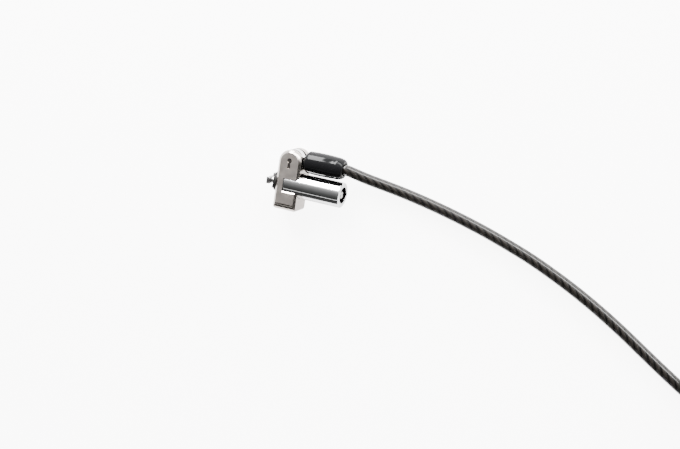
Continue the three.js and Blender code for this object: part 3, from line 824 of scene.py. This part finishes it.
def ferrule():
    """The oval outline, extruded in steps that are drawn in where the press bit."""
    ring = rounded_loop(FERRULE_WIDE, FERRULE_HIGH, FERRULE_HIGH / 2 - 0.001, 16)
    centre = Vector((0, SLEEVE_MIDDLE.y, SLEEVE_MIDDLE.z))
    bm = outline([(SLEEVE_LOW.x, centre.y + y, centre.z + z) for y, z in ring])
    bmesh.ops.remove_doubles(bm, verts=bm.verts, dist=0.002)
    face = bmesh.ops.edgeloop_fill(bm, edges=bm.edges)["faces"][0]
    stops = [0.0]
    for band in PRESSED_BANDS:
        stops += [band - BAND_HALF, band - BAND_CORE, band + BAND_CORE, band + BAND_HALF]
    stops.append(SLEEVE_HIGH.x - SLEEVE_LOW.x)
    for before, after in zip(stops, stops[1:]):
        made = bmesh.ops.extrude_face_region(bm, geom=[face])["geom"]
        face = next(f for f in made if isinstance(f, bmesh.types.BMFace))
        verts = face.verts[:]
        bmesh.ops.translate(bm, vec=(after - before, 0, 0), verts=verts)
        size = squeeze_at(after) / squeeze_at(before)
        middle_of = Matrix.Translation(-face.calc_center_median())
        bmesh.ops.scale(bm, vec=(1, size, size), space=middle_of, verts=verts)
    bmesh.ops.recalc_face_normals(bm, faces=bm.faces)
    soften(bm, 0.3, lambda c: not SLEEVE_LOW.x + 0.1 < c.x < SLEEVE_HIGH.x - 0.1, 3, 60)
    return bm


make_piece(ferrule(), "loop_ferrule", "cable", ["loop_sleeve"])

# %% [markdown]
# The two ties are woven straps. Each is a flat band round the bundle of turns: two rounded
# rectangles, one inside the other, are bridged to a ring and extruded to the band's width.

# %% The ties
TIE_ANGLES = [180, 340]
TIE_WIDE, TIE_THICK = 7, 0.7
COIL_BAND, TIE_GAP = 13.9, 0.45
TIE_CORNER = 2.2


def strap(node, degrees):
    """A flat band round the bundle, bent from one outline with an inner and an outer ring."""
    low, high = box(node)
    across = COIL_BAND + 2 * TIE_GAP + 2 * TIE_THICK
    tall = high.z - low.z
    centre = (COIL_MEAN, (low.z + high.z) / 2)
    bm = bmesh.new()
    rings = []
    for inset, corner in ((0, TIE_CORNER), (TIE_THICK, TIE_CORNER - TIE_THICK)):
        points = rounded_loop(across - 2 * inset, tall - 2 * inset, corner, 6, centre)
        verts = [bm.verts.new((x, -TIE_WIDE / 2, z)) for x, z in points]
        rings.append([bm.edges.new(pair) for pair in zip(verts, verts[1:] + verts[:1])])
    bmesh.ops.bridge_loops(bm, edges=rings[0] + rings[1])
    raised = bmesh.ops.extrude_face_region(bm, geom=bm.faces[:])["geom"]
    bmesh.ops.translate(
        bm, vec=(0, TIE_WIDE, 0), verts=[v for v in raised if isinstance(v, bmesh.types.BMVert)],
    )
    bmesh.ops.recalc_face_normals(bm, faces=bm.faces)
    soften(bm, 0.14, None, 2, 60)
    place = Matrix.Translation((COIL_CENTRE.x, COIL_CENTRE.y, 0))
    turn = Matrix.Rotation(math.radians(degrees), 4, "Z")
    bmesh.ops.transform(bm, matrix=place @ turn, verts=bm.verts)
    return bm


for i, degrees in enumerate(TIE_ANGLES, start=1):
    node = f"coil_tie_{i}"
    make_piece(strap(node, degrees), f"strap_{i}", "cable", [node])

# %% [markdown]
# The cable's path in metres, and its length.

[tuple(point * MM) for point in cable_path]
print("declared", round(cable_length * MM, 2), "m")

# %% [markdown]
# Now the finishes. Effects that several finishes share are node groups with named inputs:
# a fine grain, a mask for worn edges, and a patchy film of handling marks. They read Object
# coordinates, so they have the same scale on every piece, and the shader itself stays in
# each material.


# %% A small helper for node trees
def new_group(name, inputs, outputs):
    """An empty shader group with float inputs {name: default} and float outputs."""
    group = bpy.data.node_groups.new(name, "ShaderNodeTree")
    for socket, value in inputs.items():
        made = group.interface.new_socket(socket, in_out="INPUT", socket_type="NodeSocketFloat")
        made.default_value = value
    for socket in outputs:
        group.interface.new_socket(socket, in_out="OUTPUT", socket_type="NodeSocketFloat")
    start = group.nodes.new("NodeGroupInput")
    end = group.nodes.new("NodeGroupOutput")
    return group, start, end


def node(tree, kind, links=None, **settings):
    """A node with its settings, and its inputs either linked or set."""
    made = tree.nodes.new(kind)
    for key, value in settings.items():
        setattr(made, key, value)
    for socket, source in (links or {}).items():
        if isinstance(source, bpy.types.NodeSocket):
            tree.links.new(source, made.inputs[socket])
        else:
            made.inputs[socket].default_value = source
    return made


def maths(tree, operation, first, second=0.5, third=0.5):
    made = node(tree, "ShaderNodeMath", {0: first, 1: second, 2: third}, operation=operation)
    return made.outputs[0]


def ramp(tree, value, low, high):
    """A smooth step from 0 at low to 1 at high."""
    made = node(
        tree, "ShaderNodeMapRange", {"Value": value, "From Min": low, "From Max": high},
        interpolation_type="SMOOTHSTEP",
    )
    return made.outputs["Result"]


print("group helpers ready")

# %% [markdown]
# The grain is two octaves of fine noise. A stretch along X turns it into the long fine lines
# that a polishing belt leaves, and with no stretch it is the pebbled skin of a casting.

# %% Shared group: grain
grain_group, start, end = new_group(
    "grain", {"Cell mm": 0.2, "Stretch": 1.0}, ["Height", "Patches"],
)
place = node(grain_group, "ShaderNodeTexCoord").outputs["Object"]
parts = node(grain_group, "ShaderNodeSeparateXYZ", {0: place})
squeezed = maths(grain_group, "DIVIDE", parts.outputs["X"], start.outputs["Stretch"])
joined = node(grain_group, "ShaderNodeCombineXYZ", {
    "X": squeezed, "Y": parts.outputs["Y"], "Z": parts.outputs["Z"],
}).outputs[0]
scale = maths(grain_group, "DIVIDE", 1000.0, start.outputs["Cell mm"])
fine = node(grain_group, "ShaderNodeTexNoise", {
    "Vector": joined, "Scale": scale, "Detail": 3.0, "Roughness": 0.6,
})
patches = node(grain_group, "ShaderNodeTexNoise", {
    "Vector": place, "Scale": maths(grain_group, "MULTIPLY", scale, 0.06), "Detail": 2.0,
})
grain_group.links.new(fine.outputs["Fac"], end.inputs["Height"])
grain_group.links.new(patches.outputs["Fac"], end.inputs["Patches"])
print("group", grain_group.name)

# %% [markdown]
# Edges wear first: plating thins and shines there. The Bevel node gives the normal that a
# rounded edge would have, and where it differs from the real normal there is an edge. The
# mask is broken up with noise, because wear is never even.

# %% Shared group: edge wear
wear_group, start, end = new_group("edge_wear", {"Radius mm": 0.2, "Broken": 0.5}, ["Mask"])
rounded = node(wear_group, "ShaderNodeBevel", {
    "Radius": maths(wear_group, "MULTIPLY", start.outputs["Radius mm"], MM),
}, samples=6)
real = node(wear_group, "ShaderNodeNewGeometry")
agree = node(wear_group, "ShaderNodeVectorMath", {
    0: rounded.outputs["Normal"], 1: real.outputs["True Normal"],
}, operation="DOT_PRODUCT")
bent = maths(wear_group, "SUBTRACT", 1.0, agree.outputs["Value"])
place = node(wear_group, "ShaderNodeTexCoord").outputs["Object"]
breaks = node(wear_group, "ShaderNodeTexNoise", {"Vector": place, "Scale": 1600.0, "Detail": 4.0})
rubbed = ramp(wear_group, breaks.outputs["Fac"], 0.35, 0.7)
rubbed = maths(wear_group, "MULTIPLY", rubbed, start.outputs["Broken"])
kept = maths(wear_group, "SUBTRACT", 1.0, rubbed)
mask = maths(wear_group, "MULTIPLY", ramp(wear_group, bent, 0.004, 0.12), kept)
wear_group.links.new(mask, end.inputs["Mask"])
print("group", wear_group.name)

# %% [markdown]
# Hands leave a thin uneven film on polished and glossy surfaces. It is nearly invisible in
# colour, but it makes the gloss vary, so it only ever feeds roughness. A little dust lies on
# faces that look up.

# %% Shared group: handling
handling_group, start, end = new_group("handling", {"Patch mm": 3.0}, ["Smear", "Dust"])
place = node(handling_group, "ShaderNodeTexCoord").outputs["Object"]
scale = maths(handling_group, "DIVIDE", 1000.0, start.outputs["Patch mm"])
smears = node(handling_group, "ShaderNodeTexNoise", {
    "Vector": place, "Scale": scale, "Detail": 4.0, "Roughness": 0.55, "Distortion": 0.8,
})
specks = node(handling_group, "ShaderNodeTexVoronoi", {"Vector": place, "Scale": 2600.0})
facing = node(handling_group, "ShaderNodeNewGeometry")
up = node(handling_group, "ShaderNodeSeparateXYZ", {0: facing.outputs["Normal"]}).outputs["Z"]
gaps = ramp(handling_group, specks.outputs["Distance"], 0.04, 0.14)
dots = maths(handling_group, "SUBTRACT", 1.0, gaps)
dust = maths(handling_group, "MULTIPLY", dots, ramp(handling_group, up, 0.3, 0.9))
smear = ramp(handling_group, smears.outputs["Fac"], 0.4, 0.72)
handling_group.links.new(smear, end.inputs["Smear"])
handling_group.links.new(dust, end.inputs["Dust"])
print("group", handling_group.name)


# %% [markdown]
# Every material starts as a Principled shader, and a few helpers place the groups in it. The
# metals differ only in numbers, so one function makes them all.


# %% Materials from the groups
def new_material(name):
    material = bpy.data.materials.new(name)
    material.use_nodes = True
    materials[name] = material
    return material.node_tree, material.node_tree.nodes["Principled BSDF"]


def use(tree, group, **values):
    """A group placed in a material with its own values, an underscore for each space."""
    made = node(tree, "ShaderNodeGroup", node_tree=group)
    for key, value in values.items():
        made.inputs[key.replace("_", " ")].default_value = value
    return made


def mixed(tree, share, first, second):
    """Two colours mixed by a mask."""
    made = node(tree, "ShaderNodeMix", data_type="RGBA")
    tree.links.new(share, made.inputs["Factor"])
    for key, value in (("A", first), ("B", second)):
        socket = next(i for i in made.inputs if i.name == key and i.type == "RGBA")
        if isinstance(value, bpy.types.NodeSocket):
            tree.links.new(value, socket)
        else:
            socket.default_value = (*value, 1)
    return next(o for o in made.outputs if o.type == "RGBA")


def between(tree, share, low, high):
    """A number that runs from low to high as a mask runs from 0 to 1."""
    made = node(tree, "ShaderNodeMapRange", {"Value": share, "To Min": low, "To Max": high})
    return made.outputs["Result"]


def bump(tree, shader, height, depth_mm):
    made = node(tree, "ShaderNodeBump", {
        "Height": height, "Strength": 1.0, "Distance": depth_mm * MM,
    })
    tree.links.new(made.outputs["Normal"], shader.inputs["Normal"])


def metal(name, colour, worn_colour, roughness, cell, stretch, depth, wear_radius, smear):
    """A plated or turned metal: grain in the surface, bright worn edges, handling marks.
    Gives back the tree, the shader and the roughness, for a finish that changes it further."""
    tree, shader = new_material(name)
    shader.inputs["Metallic"].default_value = 1.0
    grain = use(tree, grain_group, Cell_mm=cell, Stretch=stretch)
    wear = use(tree, wear_group, Radius_mm=wear_radius)
    marks = use(tree, handling_group)
    darker, lighter = [c * 0.86 for c in colour], [c * 1.1 for c in colour]
    uneven = mixed(tree, grain.outputs["Patches"], darker, lighter)
    worn = mixed(tree, wear.outputs["Mask"], uneven, worn_colour)
    tree.links.new(worn, shader.inputs["Base Color"])
    rough = between(tree, grain.outputs["Height"], roughness * 0.7, roughness * 1.3)
    rough = maths(tree, "ADD", rough, maths(tree, "MULTIPLY", marks.outputs["Smear"], smear))
    polish = maths(tree, "MULTIPLY", wear.outputs["Mask"], roughness * 0.4)
    rough = maths(tree, "SUBTRACT", rough, polish)
    tree.links.new(rough, shader.inputs["Roughness"])
    bump(tree, shader, grain.outputs["Height"], depth)
    return tree, shader, rough


# %% [markdown]
# The head is zinc with a nickel plate: warm grey, bright round the sides and edges, and on the
# flat face blasted to a satin with a fine pebbled grain. A mask on the height above the table
# tells the face from the rest. The cylinder and the eye are polished and chromed, so nearly
# all of their look is what they reflect. The hidden works are plain turned steel and brass,
# and what shows of them down the keyway is dark with oil and with painted shade.

# %% Metals
FACE_DULLER = 0.3
tree, shader, rough = metal(
    "satin_nickel", (0.52, 0.475, 0.44), (0.82, 0.79, 0.76),
    roughness=0.17, cell=0.17, stretch=1.0, depth=0.012, wear_radius=0.16, smear=0.06,
)
place = node(tree, "ShaderNodeTexCoord").outputs["Object"]
height = node(tree, "ShaderNodeSeparateXYZ", {0: place}).outputs["Z"]
face = ramp(tree, height, (HEAD_HIGH.z - 0.03) * MM, (HEAD_HIGH.z - 0.01) * MM)
blasted = maths(tree, "ADD", rough, maths(tree, "MULTIPLY", face, FACE_DULLER))
tree.links.new(blasted, shader.inputs["Roughness"])
metal(
    "chrome", (0.86, 0.865, 0.87), (0.95, 0.95, 0.95),
    roughness=0.055, cell=0.12, stretch=9.0, depth=0.0006, wear_radius=0.15, smear=0.06,
)
metal(
    "steel", (0.55, 0.545, 0.54), (0.78, 0.78, 0.78),
    roughness=0.27, cell=0.1, stretch=1.0, depth=0.004, wear_radius=0.12, smear=0.08,
)
# A very dark steel: painted shade for the keyway and the fork's inner walls, with oil in the
# keyway.
metal(
    "oil_and_painted_shade_steel", (0.03, 0.028, 0.026), (0.09, 0.085, 0.08),
    roughness=0.3, cell=0.1, stretch=1.0, depth=0.003, wear_radius=0.08, smear=0.1,
)
metal(
    "brass", (0.62, 0.43, 0.17), (0.82, 0.64, 0.32),
    roughness=0.3, cell=0.1, stretch=1.0, depth=0.004, wear_radius=0.1, smear=0.08,
)
print(sorted(materials))

# %% [markdown]
# The sleeve is black plastic from a polished mould. Its colour hardly matters: what shows is
# the mirror-like skin, very slightly uneven like orange peel, with a few specks of dust. Its
# specular level is low, so the room stays black in it and only the lamps show.

# %% Glossy black plastic
tree, shader = new_material("black_gloss")
marks = use(tree, handling_group, Patch_mm=4.0)
peel = use(tree, grain_group, Cell_mm=1.3, Stretch=1.0)
skin = mixed(tree, marks.outputs["Dust"], (0.006, 0.006, 0.0065), (0.05, 0.048, 0.045))
tree.links.new(skin, shader.inputs["Base Color"])
tree.links.new(between(tree, marks.outputs["Smear"], 0.05, 0.13), shader.inputs["Roughness"])
bump(tree, shader, peel.outputs["Height"], 0.002)
shader.inputs["Specular IOR Level"].default_value = 0.1
print("black_gloss")

# %% [markdown]
# The collar is matt rubber with a dusty, slightly porous skin.

# %% Rubber
tree, shader = new_material("black_rubber")
pores = use(tree, grain_group, Cell_mm=0.14, Stretch=1.0)
marks = use(tree, handling_group, Patch_mm=2.0)
rub = use(tree, wear_group, Radius_mm=0.3, Broken=0.8)
skin = mixed(tree, pores.outputs["Height"], (0.005, 0.005, 0.005), (0.014, 0.0135, 0.013))
skin = mixed(tree, rub.outputs["Mask"], skin, (0.03, 0.029, 0.028))
tree.links.new(skin, shader.inputs["Base Color"])
shader.inputs["Specular IOR Level"].default_value = 0.2
tree.links.new(between(tree, marks.outputs["Smear"], 0.5, 0.75), shader.inputs["Roughness"])
bump(tree, shader, pores.outputs["Height"], 0.02)
print("black_rubber")

# %% [markdown]
# The straps are woven: two sets of ribs cross at right angles, and each passes over and under
# the other. Sine waves along and across the strap give the ribs, and their product gives the
# over and under.

# %% Woven strap
RIB_MM = 0.55
tree, shader = new_material("strap_weave")
place = node(tree, "ShaderNodeTexCoord").outputs["Object"]
ribs = []
for direction in ("X", "DIAGONAL"):
    ribs.append(node(tree, "ShaderNodeTexWave", {
        "Vector": place, "Scale": 1000 / (RIB_MM * 6.28), "Distortion": 0.6, "Detail": 2.0,
        "Detail Scale": 3.0,
    }, bands_direction=direction))
crossing = maths(tree, "MULTIPLY", ribs[0].outputs["Fac"], ribs[1].outputs["Fac"])
fuzz = use(tree, grain_group, Cell_mm=0.09, Stretch=1.0)
woven = maths(tree, "ADD", crossing, maths(tree, "MULTIPLY", fuzz.outputs["Height"], 0.4))
thread = mixed(tree, woven, (0.006, 0.006, 0.007), (0.05, 0.05, 0.052))
tree.links.new(thread, shader.inputs["Base Color"])
tree.links.new(between(tree, fuzz.outputs["Height"], 0.65, 0.95), shader.inputs["Roughness"])
shader.inputs["Sheen Weight"].default_value = 0.3
shader.inputs["Sheen Roughness"].default_value = 0.4
bump(tree, shader, woven, 0.12)
print("strap_weave")

# %% [markdown]
# The cable is seen through its smoked clear jacket: six strands of fine steel wire, laid in a
# right-hand twist that repeats every 21 mm, with painted shade in the grooves between them. The
# jacket is the shader's clear coat. It stays perfectly smooth while the strands under it are
# bumped, so the lamps draw long thin lines on it over the dark twist. The pattern is worked out
# from the UV map: round minus along gives a slanting phase, and its fraction says how far round
# one strand a point is.

# %% The cable's shader
LAY_MM = 21.0
STRANDS = 6
WIRES = 4
WIRE_LAY_MM = 2.6


def cable_material(name, length_mm):
    tree, shader = new_material(name)
    uv = node(tree, "ShaderNodeUVMap", uv_map="UVMap").outputs["UV"]
    parts = node(tree, "ShaderNodeSeparateXYZ", {0: uv})
    along, round_it = parts.outputs["X"], parts.outputs["Y"]
    lays = maths(tree, "MULTIPLY", along, length_mm / LAY_MM)
    phase = maths(tree, "MULTIPLY", maths(tree, "SUBTRACT", round_it, lays), float(STRANDS))
    in_strand = maths(tree, "FRACT", phase)
    arch = maths(tree, "SINE", maths(tree, "MULTIPLY", in_strand, math.pi))
    arch = maths(tree, "POWER", arch, 0.8)
    slant = maths(tree, "MULTIPLY", along, length_mm / WIRE_LAY_MM)
    wires = maths(tree, "ADD", maths(tree, "MULTIPLY", in_strand, float(WIRES)), slant)
    wires = maths(tree, "FRACT", wires)
    wire_arch = maths(tree, "SINE", maths(tree, "MULTIPLY", wires, math.pi))
    height = maths(tree, "ADD", arch, maths(tree, "MULTIPLY", wire_arch, 0.22))
    blotches = use(tree, grain_group, Cell_mm=1.1, Stretch=1.0)
    cloud = ramp(tree, blotches.outputs["Height"], 0.3, 0.7)
    # Painted shade: the colour is darkest in the grooves between strands and wires and lighter on
    # their crests.
    shown = maths(tree, "MULTIPLY", ramp(tree, arch, 0.3, 0.95), between(tree, wire_arch, 0.5, 1.0))
    shown = maths(tree, "MULTIPLY", shown, between(tree, cloud, 0.75, 1.0))
    colour = mixed(tree, shown, (0.0015, 0.0013, 0.0012), (0.024, 0.0208, 0.0184))
    tree.links.new(colour, shader.inputs["Base Color"])
    tree.links.new(between(tree, shown, 0.0, 0.3), shader.inputs["Metallic"])
    tree.links.new(between(tree, cloud, 0.3, 0.5), shader.inputs["Roughness"])
    marks = use(tree, handling_group, Patch_mm=5.0)
    tree.links.new(between(tree, marks.outputs["Smear"], 1.0, 0.8), shader.inputs["Coat Weight"])
    shader.inputs["Coat Roughness"].default_value = 0.07
    shader.inputs["Coat IOR"].default_value = 1.36
    shader.inputs["Specular IOR Level"].default_value = 0.1
    bump(tree, shader, height, 0.25)
    print(name, round(length_mm / LAY_MM, 1), "turns of the strands")


cable_material("cable_strands", cable_length)
cable_material("loop_strands", loop_stride * (len(loop_path) - 1))

# %% [markdown]
# Each piece gets its finish, and so do the CAD nodes that stay as they are: the pin block,
# the pins and springs, the cross pin and the swivel's socket, all of which are inside. The
# keyway and the inner walls of the fork get a second, darker one: painted shade for these
# recesses, with oil in the keyway.

# %% Put the finishes on
FINISHES = {
    "head_casting": "satin_nickel", "cylinder_housing": "chrome", "key_core": "steel",
    "locking_tee": "steel", "nose_plate": "steel", "rubber_collar": "black_rubber",
    "swivel_eye": "chrome", "washer_front": "black_rubber", "washer_back": "black_rubber",
    "fork_rivet": "steel", "swivel_sleeve": "black_gloss", "loop_ferrule": "steel",
    "strap_1": "strap_weave", "strap_2": "strap_weave", "cable": "cable_strands",
    "end_loop": "loop_strands", "pin_block": "brass", "barrel_cross_pin": "steel",
    "swivel_socket": "steel",
}
for i in range(1, PIN_COUNT + 1):
    FINISHES[f"key_pin_{i}"] = "brass"
    FINISHES.update({f"driver_pin_{i}": "steel", f"pin_spring_{i}": "steel"})
for name, finish in FINISHES.items():
    piece = bpy.data.objects[name]
    piece.data.materials.clear()
    piece.data.materials.append(materials[finish])


def second_finish(piece, finish, chosen):
    """Give the faces that pass the test another finish."""
    piece.data.materials.append(materials[finish])
    count = 0
    for face in piece.data.polygons:
        if chosen(face.center / MM):
            face.material_index = 1
            count += 1
    print(piece.name, finish, "on", count, "faces")


def in_fork(co):
    """Whether a point is on the fork's inner walls."""
    on_cheek = min(abs(co.z - FORK_LOW), abs(co.z - FORK_HIGH)) < 0.05
    near = math.hypot(co.x - PIVOT.x, co.y - PIVOT.y) < FORK_RADIUS + 0.1
    return on_cheek or (near and FORK_LOW < co.z < FORK_HIGH)


INNER_WALL, MOUTH = BARREL_RADIUS - 0.6, BARREL_HIGH.x - 0.05
BRIGHT_TIP = 0.7
# Painted shade: the fork's inner walls, the bore behind the housing's mouth and the core behind its
# bright tip are darkened as recesses where shade falls, with oil in the keyway.
second_finish(head_casting, "oil_and_painted_shade_steel", in_fork)
second_finish(housing, "oil_and_painted_shade_steel", lambda c: c.x < MOUTH and from_axis(c) < INNER_WALL)
second_finish(key_core, "oil_and_painted_shade_steel", lambda c: c.x < CORE_HIGH.x - BRIGHT_TIP)
unfinished = [piece.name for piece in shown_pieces() if piece.name not in FINISHES]
print("finishes:", len(FINISHES), "left over:", unfinished)

# %% [markdown]
# A pale floor with a faint tooth in it. It is lit from within like a light table, so it stays
# near white while the room above stays dark enough for black rubber to look black. What it
# throws on the object is less than what is seen of it directly, or every glossy edge would
# glow. It reaches far enough that its edge never shows.

# %% Floor
FLOOR_SIZE, FLOOR_DROP = 6, 0.00005
FLOOR_GLOW, FLOOR_SEEN = 2.2, 8.0
bm = bmesh.new()
bmesh.ops.create_grid(bm, x_segments=1, y_segments=1, size=FLOOR_SIZE / 2)
bmesh.ops.translate(bm, vec=(0, 0, -FLOOR_DROP), verts=bm.verts)
mesh = bpy.data.meshes.new("floor")
bm.to_mesh(mesh)
bm.free()
floor = bpy.data.objects.new("floor", mesh)
bpy.context.scene.collection.objects.link(floor)
tree, shader = new_material("pale_floor")
tooth = use(tree, grain_group, Cell_mm=1.2, Stretch=1.0)
pale = mixed(tree, tooth.outputs["Patches"], (0.86, 0.86, 0.86), (0.9, 0.9, 0.9))
tree.links.new(pale, shader.inputs["Base Color"])
shader.inputs["Roughness"].default_value = 0.75
shader.inputs["Emission Color"].default_value = (1, 0.995, 0.99, 1)
seen = node(tree, "ShaderNodeLightPath").outputs["Is Camera Ray"]
tree.links.new(between(tree, seen, FLOOR_GLOW, FLOOR_SEEN), shader.inputs["Emission Strength"])
floor.data.materials.append(materials["pale_floor"])
print("floor", FLOOR_SIZE, "m")

# %% [markdown]
# Polished metal shows its surroundings, so the studio is drawn with care. The world is a soft
# white room that darkens overhead and behind the lower side, where a black card would hang,
# with one thin bright gap. It is a colour ramp over the direction round the cylinder's axis,
# from the cable's side, over the top, to the lower side.

# %% The room
WORLD_STRENGTH = 2.0
world = bpy.data.worlds.new("studio")
bpy.context.scene.world = world
world.use_nodes = True
tree = world.node_tree
background = tree.nodes["Background"]
direction = node(tree, "ShaderNodeTexCoord").outputs["Generated"]
parts = node(tree, "ShaderNodeSeparateXYZ", {0: direction})
angle = maths(tree, "ARCTAN2", parts.outputs["Z"], parts.outputs["Y"])
share = maths(tree, "ADD", maths(tree, "DIVIDE", angle, 2 * math.pi), 0.5)
bands = node(tree, "ShaderNodeValToRGB", {"Fac": share})
BAND_STOPS = [
    (-180, 0.1), (-174, 1.0), (-20, 1.0), (0, 1.4), (50, 1.4), (60, 0.26), (80, 0.12),
    (104, 0.05), (128, 0.02), (134, 0.02), (135, 0.8), (138, 0.8), (139, 0.02), (165, 0.03),
    (178, 0.1),
]
elements = bands.color_ramp.elements
while len(elements) < len(BAND_STOPS):
    elements.new(0.5)
for element, (degrees, light) in zip(elements, BAND_STOPS):
    element.position = (degrees + 180) / 360
    element.color = (light, light, light, 1)
tree.links.new(bands.outputs["Color"], background.inputs["Color"])
background.inputs["Strength"].default_value = WORLD_STRENGTH
print("room bands:", len(BAND_STOPS))

# %% [markdown]
# Two soft boxes stand side by side on the cable's side, low over the table. On the glossy
# sleeve they are the long and the short highlight, and they lean a little so that the
# highlights have square ends. A wide one beside them draws the long bright line on the
# cable's clear jacket.


# %% Lamps
def soft_box(name, place, target, width, height, power, lean=0):
    """A rectangular lamp that faces its target. Lean rolls its top sideways, in degrees."""
    data = bpy.data.lights.new(name, "AREA")
    data.shape = "RECTANGLE"
    data.size, data.size_y = width, height
    data.energy = power
    lamp = bpy.data.objects.new(name, data)
    lamp.location = place
    facing = (Vector(place) - Vector(target)).to_track_quat("Z", "Y")
    lamp.rotation_euler = (facing @ Quaternion((0, 0, 1), math.radians(lean))).to_euler()
    bpy.context.scene.collection.objects.link(lamp)


HEAD_PLACE = (0.006, 0.004, 0.006)
CABLE_PLACE = (0.1, -0.015, 0.004)
soft_box("long_box", (-0.25, 0.5, 0.24), HEAD_PLACE, 0.11, 0.44, 9, lean=-11)
soft_box("short_box", (-0.13, 0.56, 0.25), HEAD_PLACE, 0.045, 0.44, 5, lean=-9)
soft_box("cable_box", (0.37, 0.73, 0.35), CABLE_PLACE, 1.0, 0.2, 18)
print("lamps:", len(bpy.data.lights))
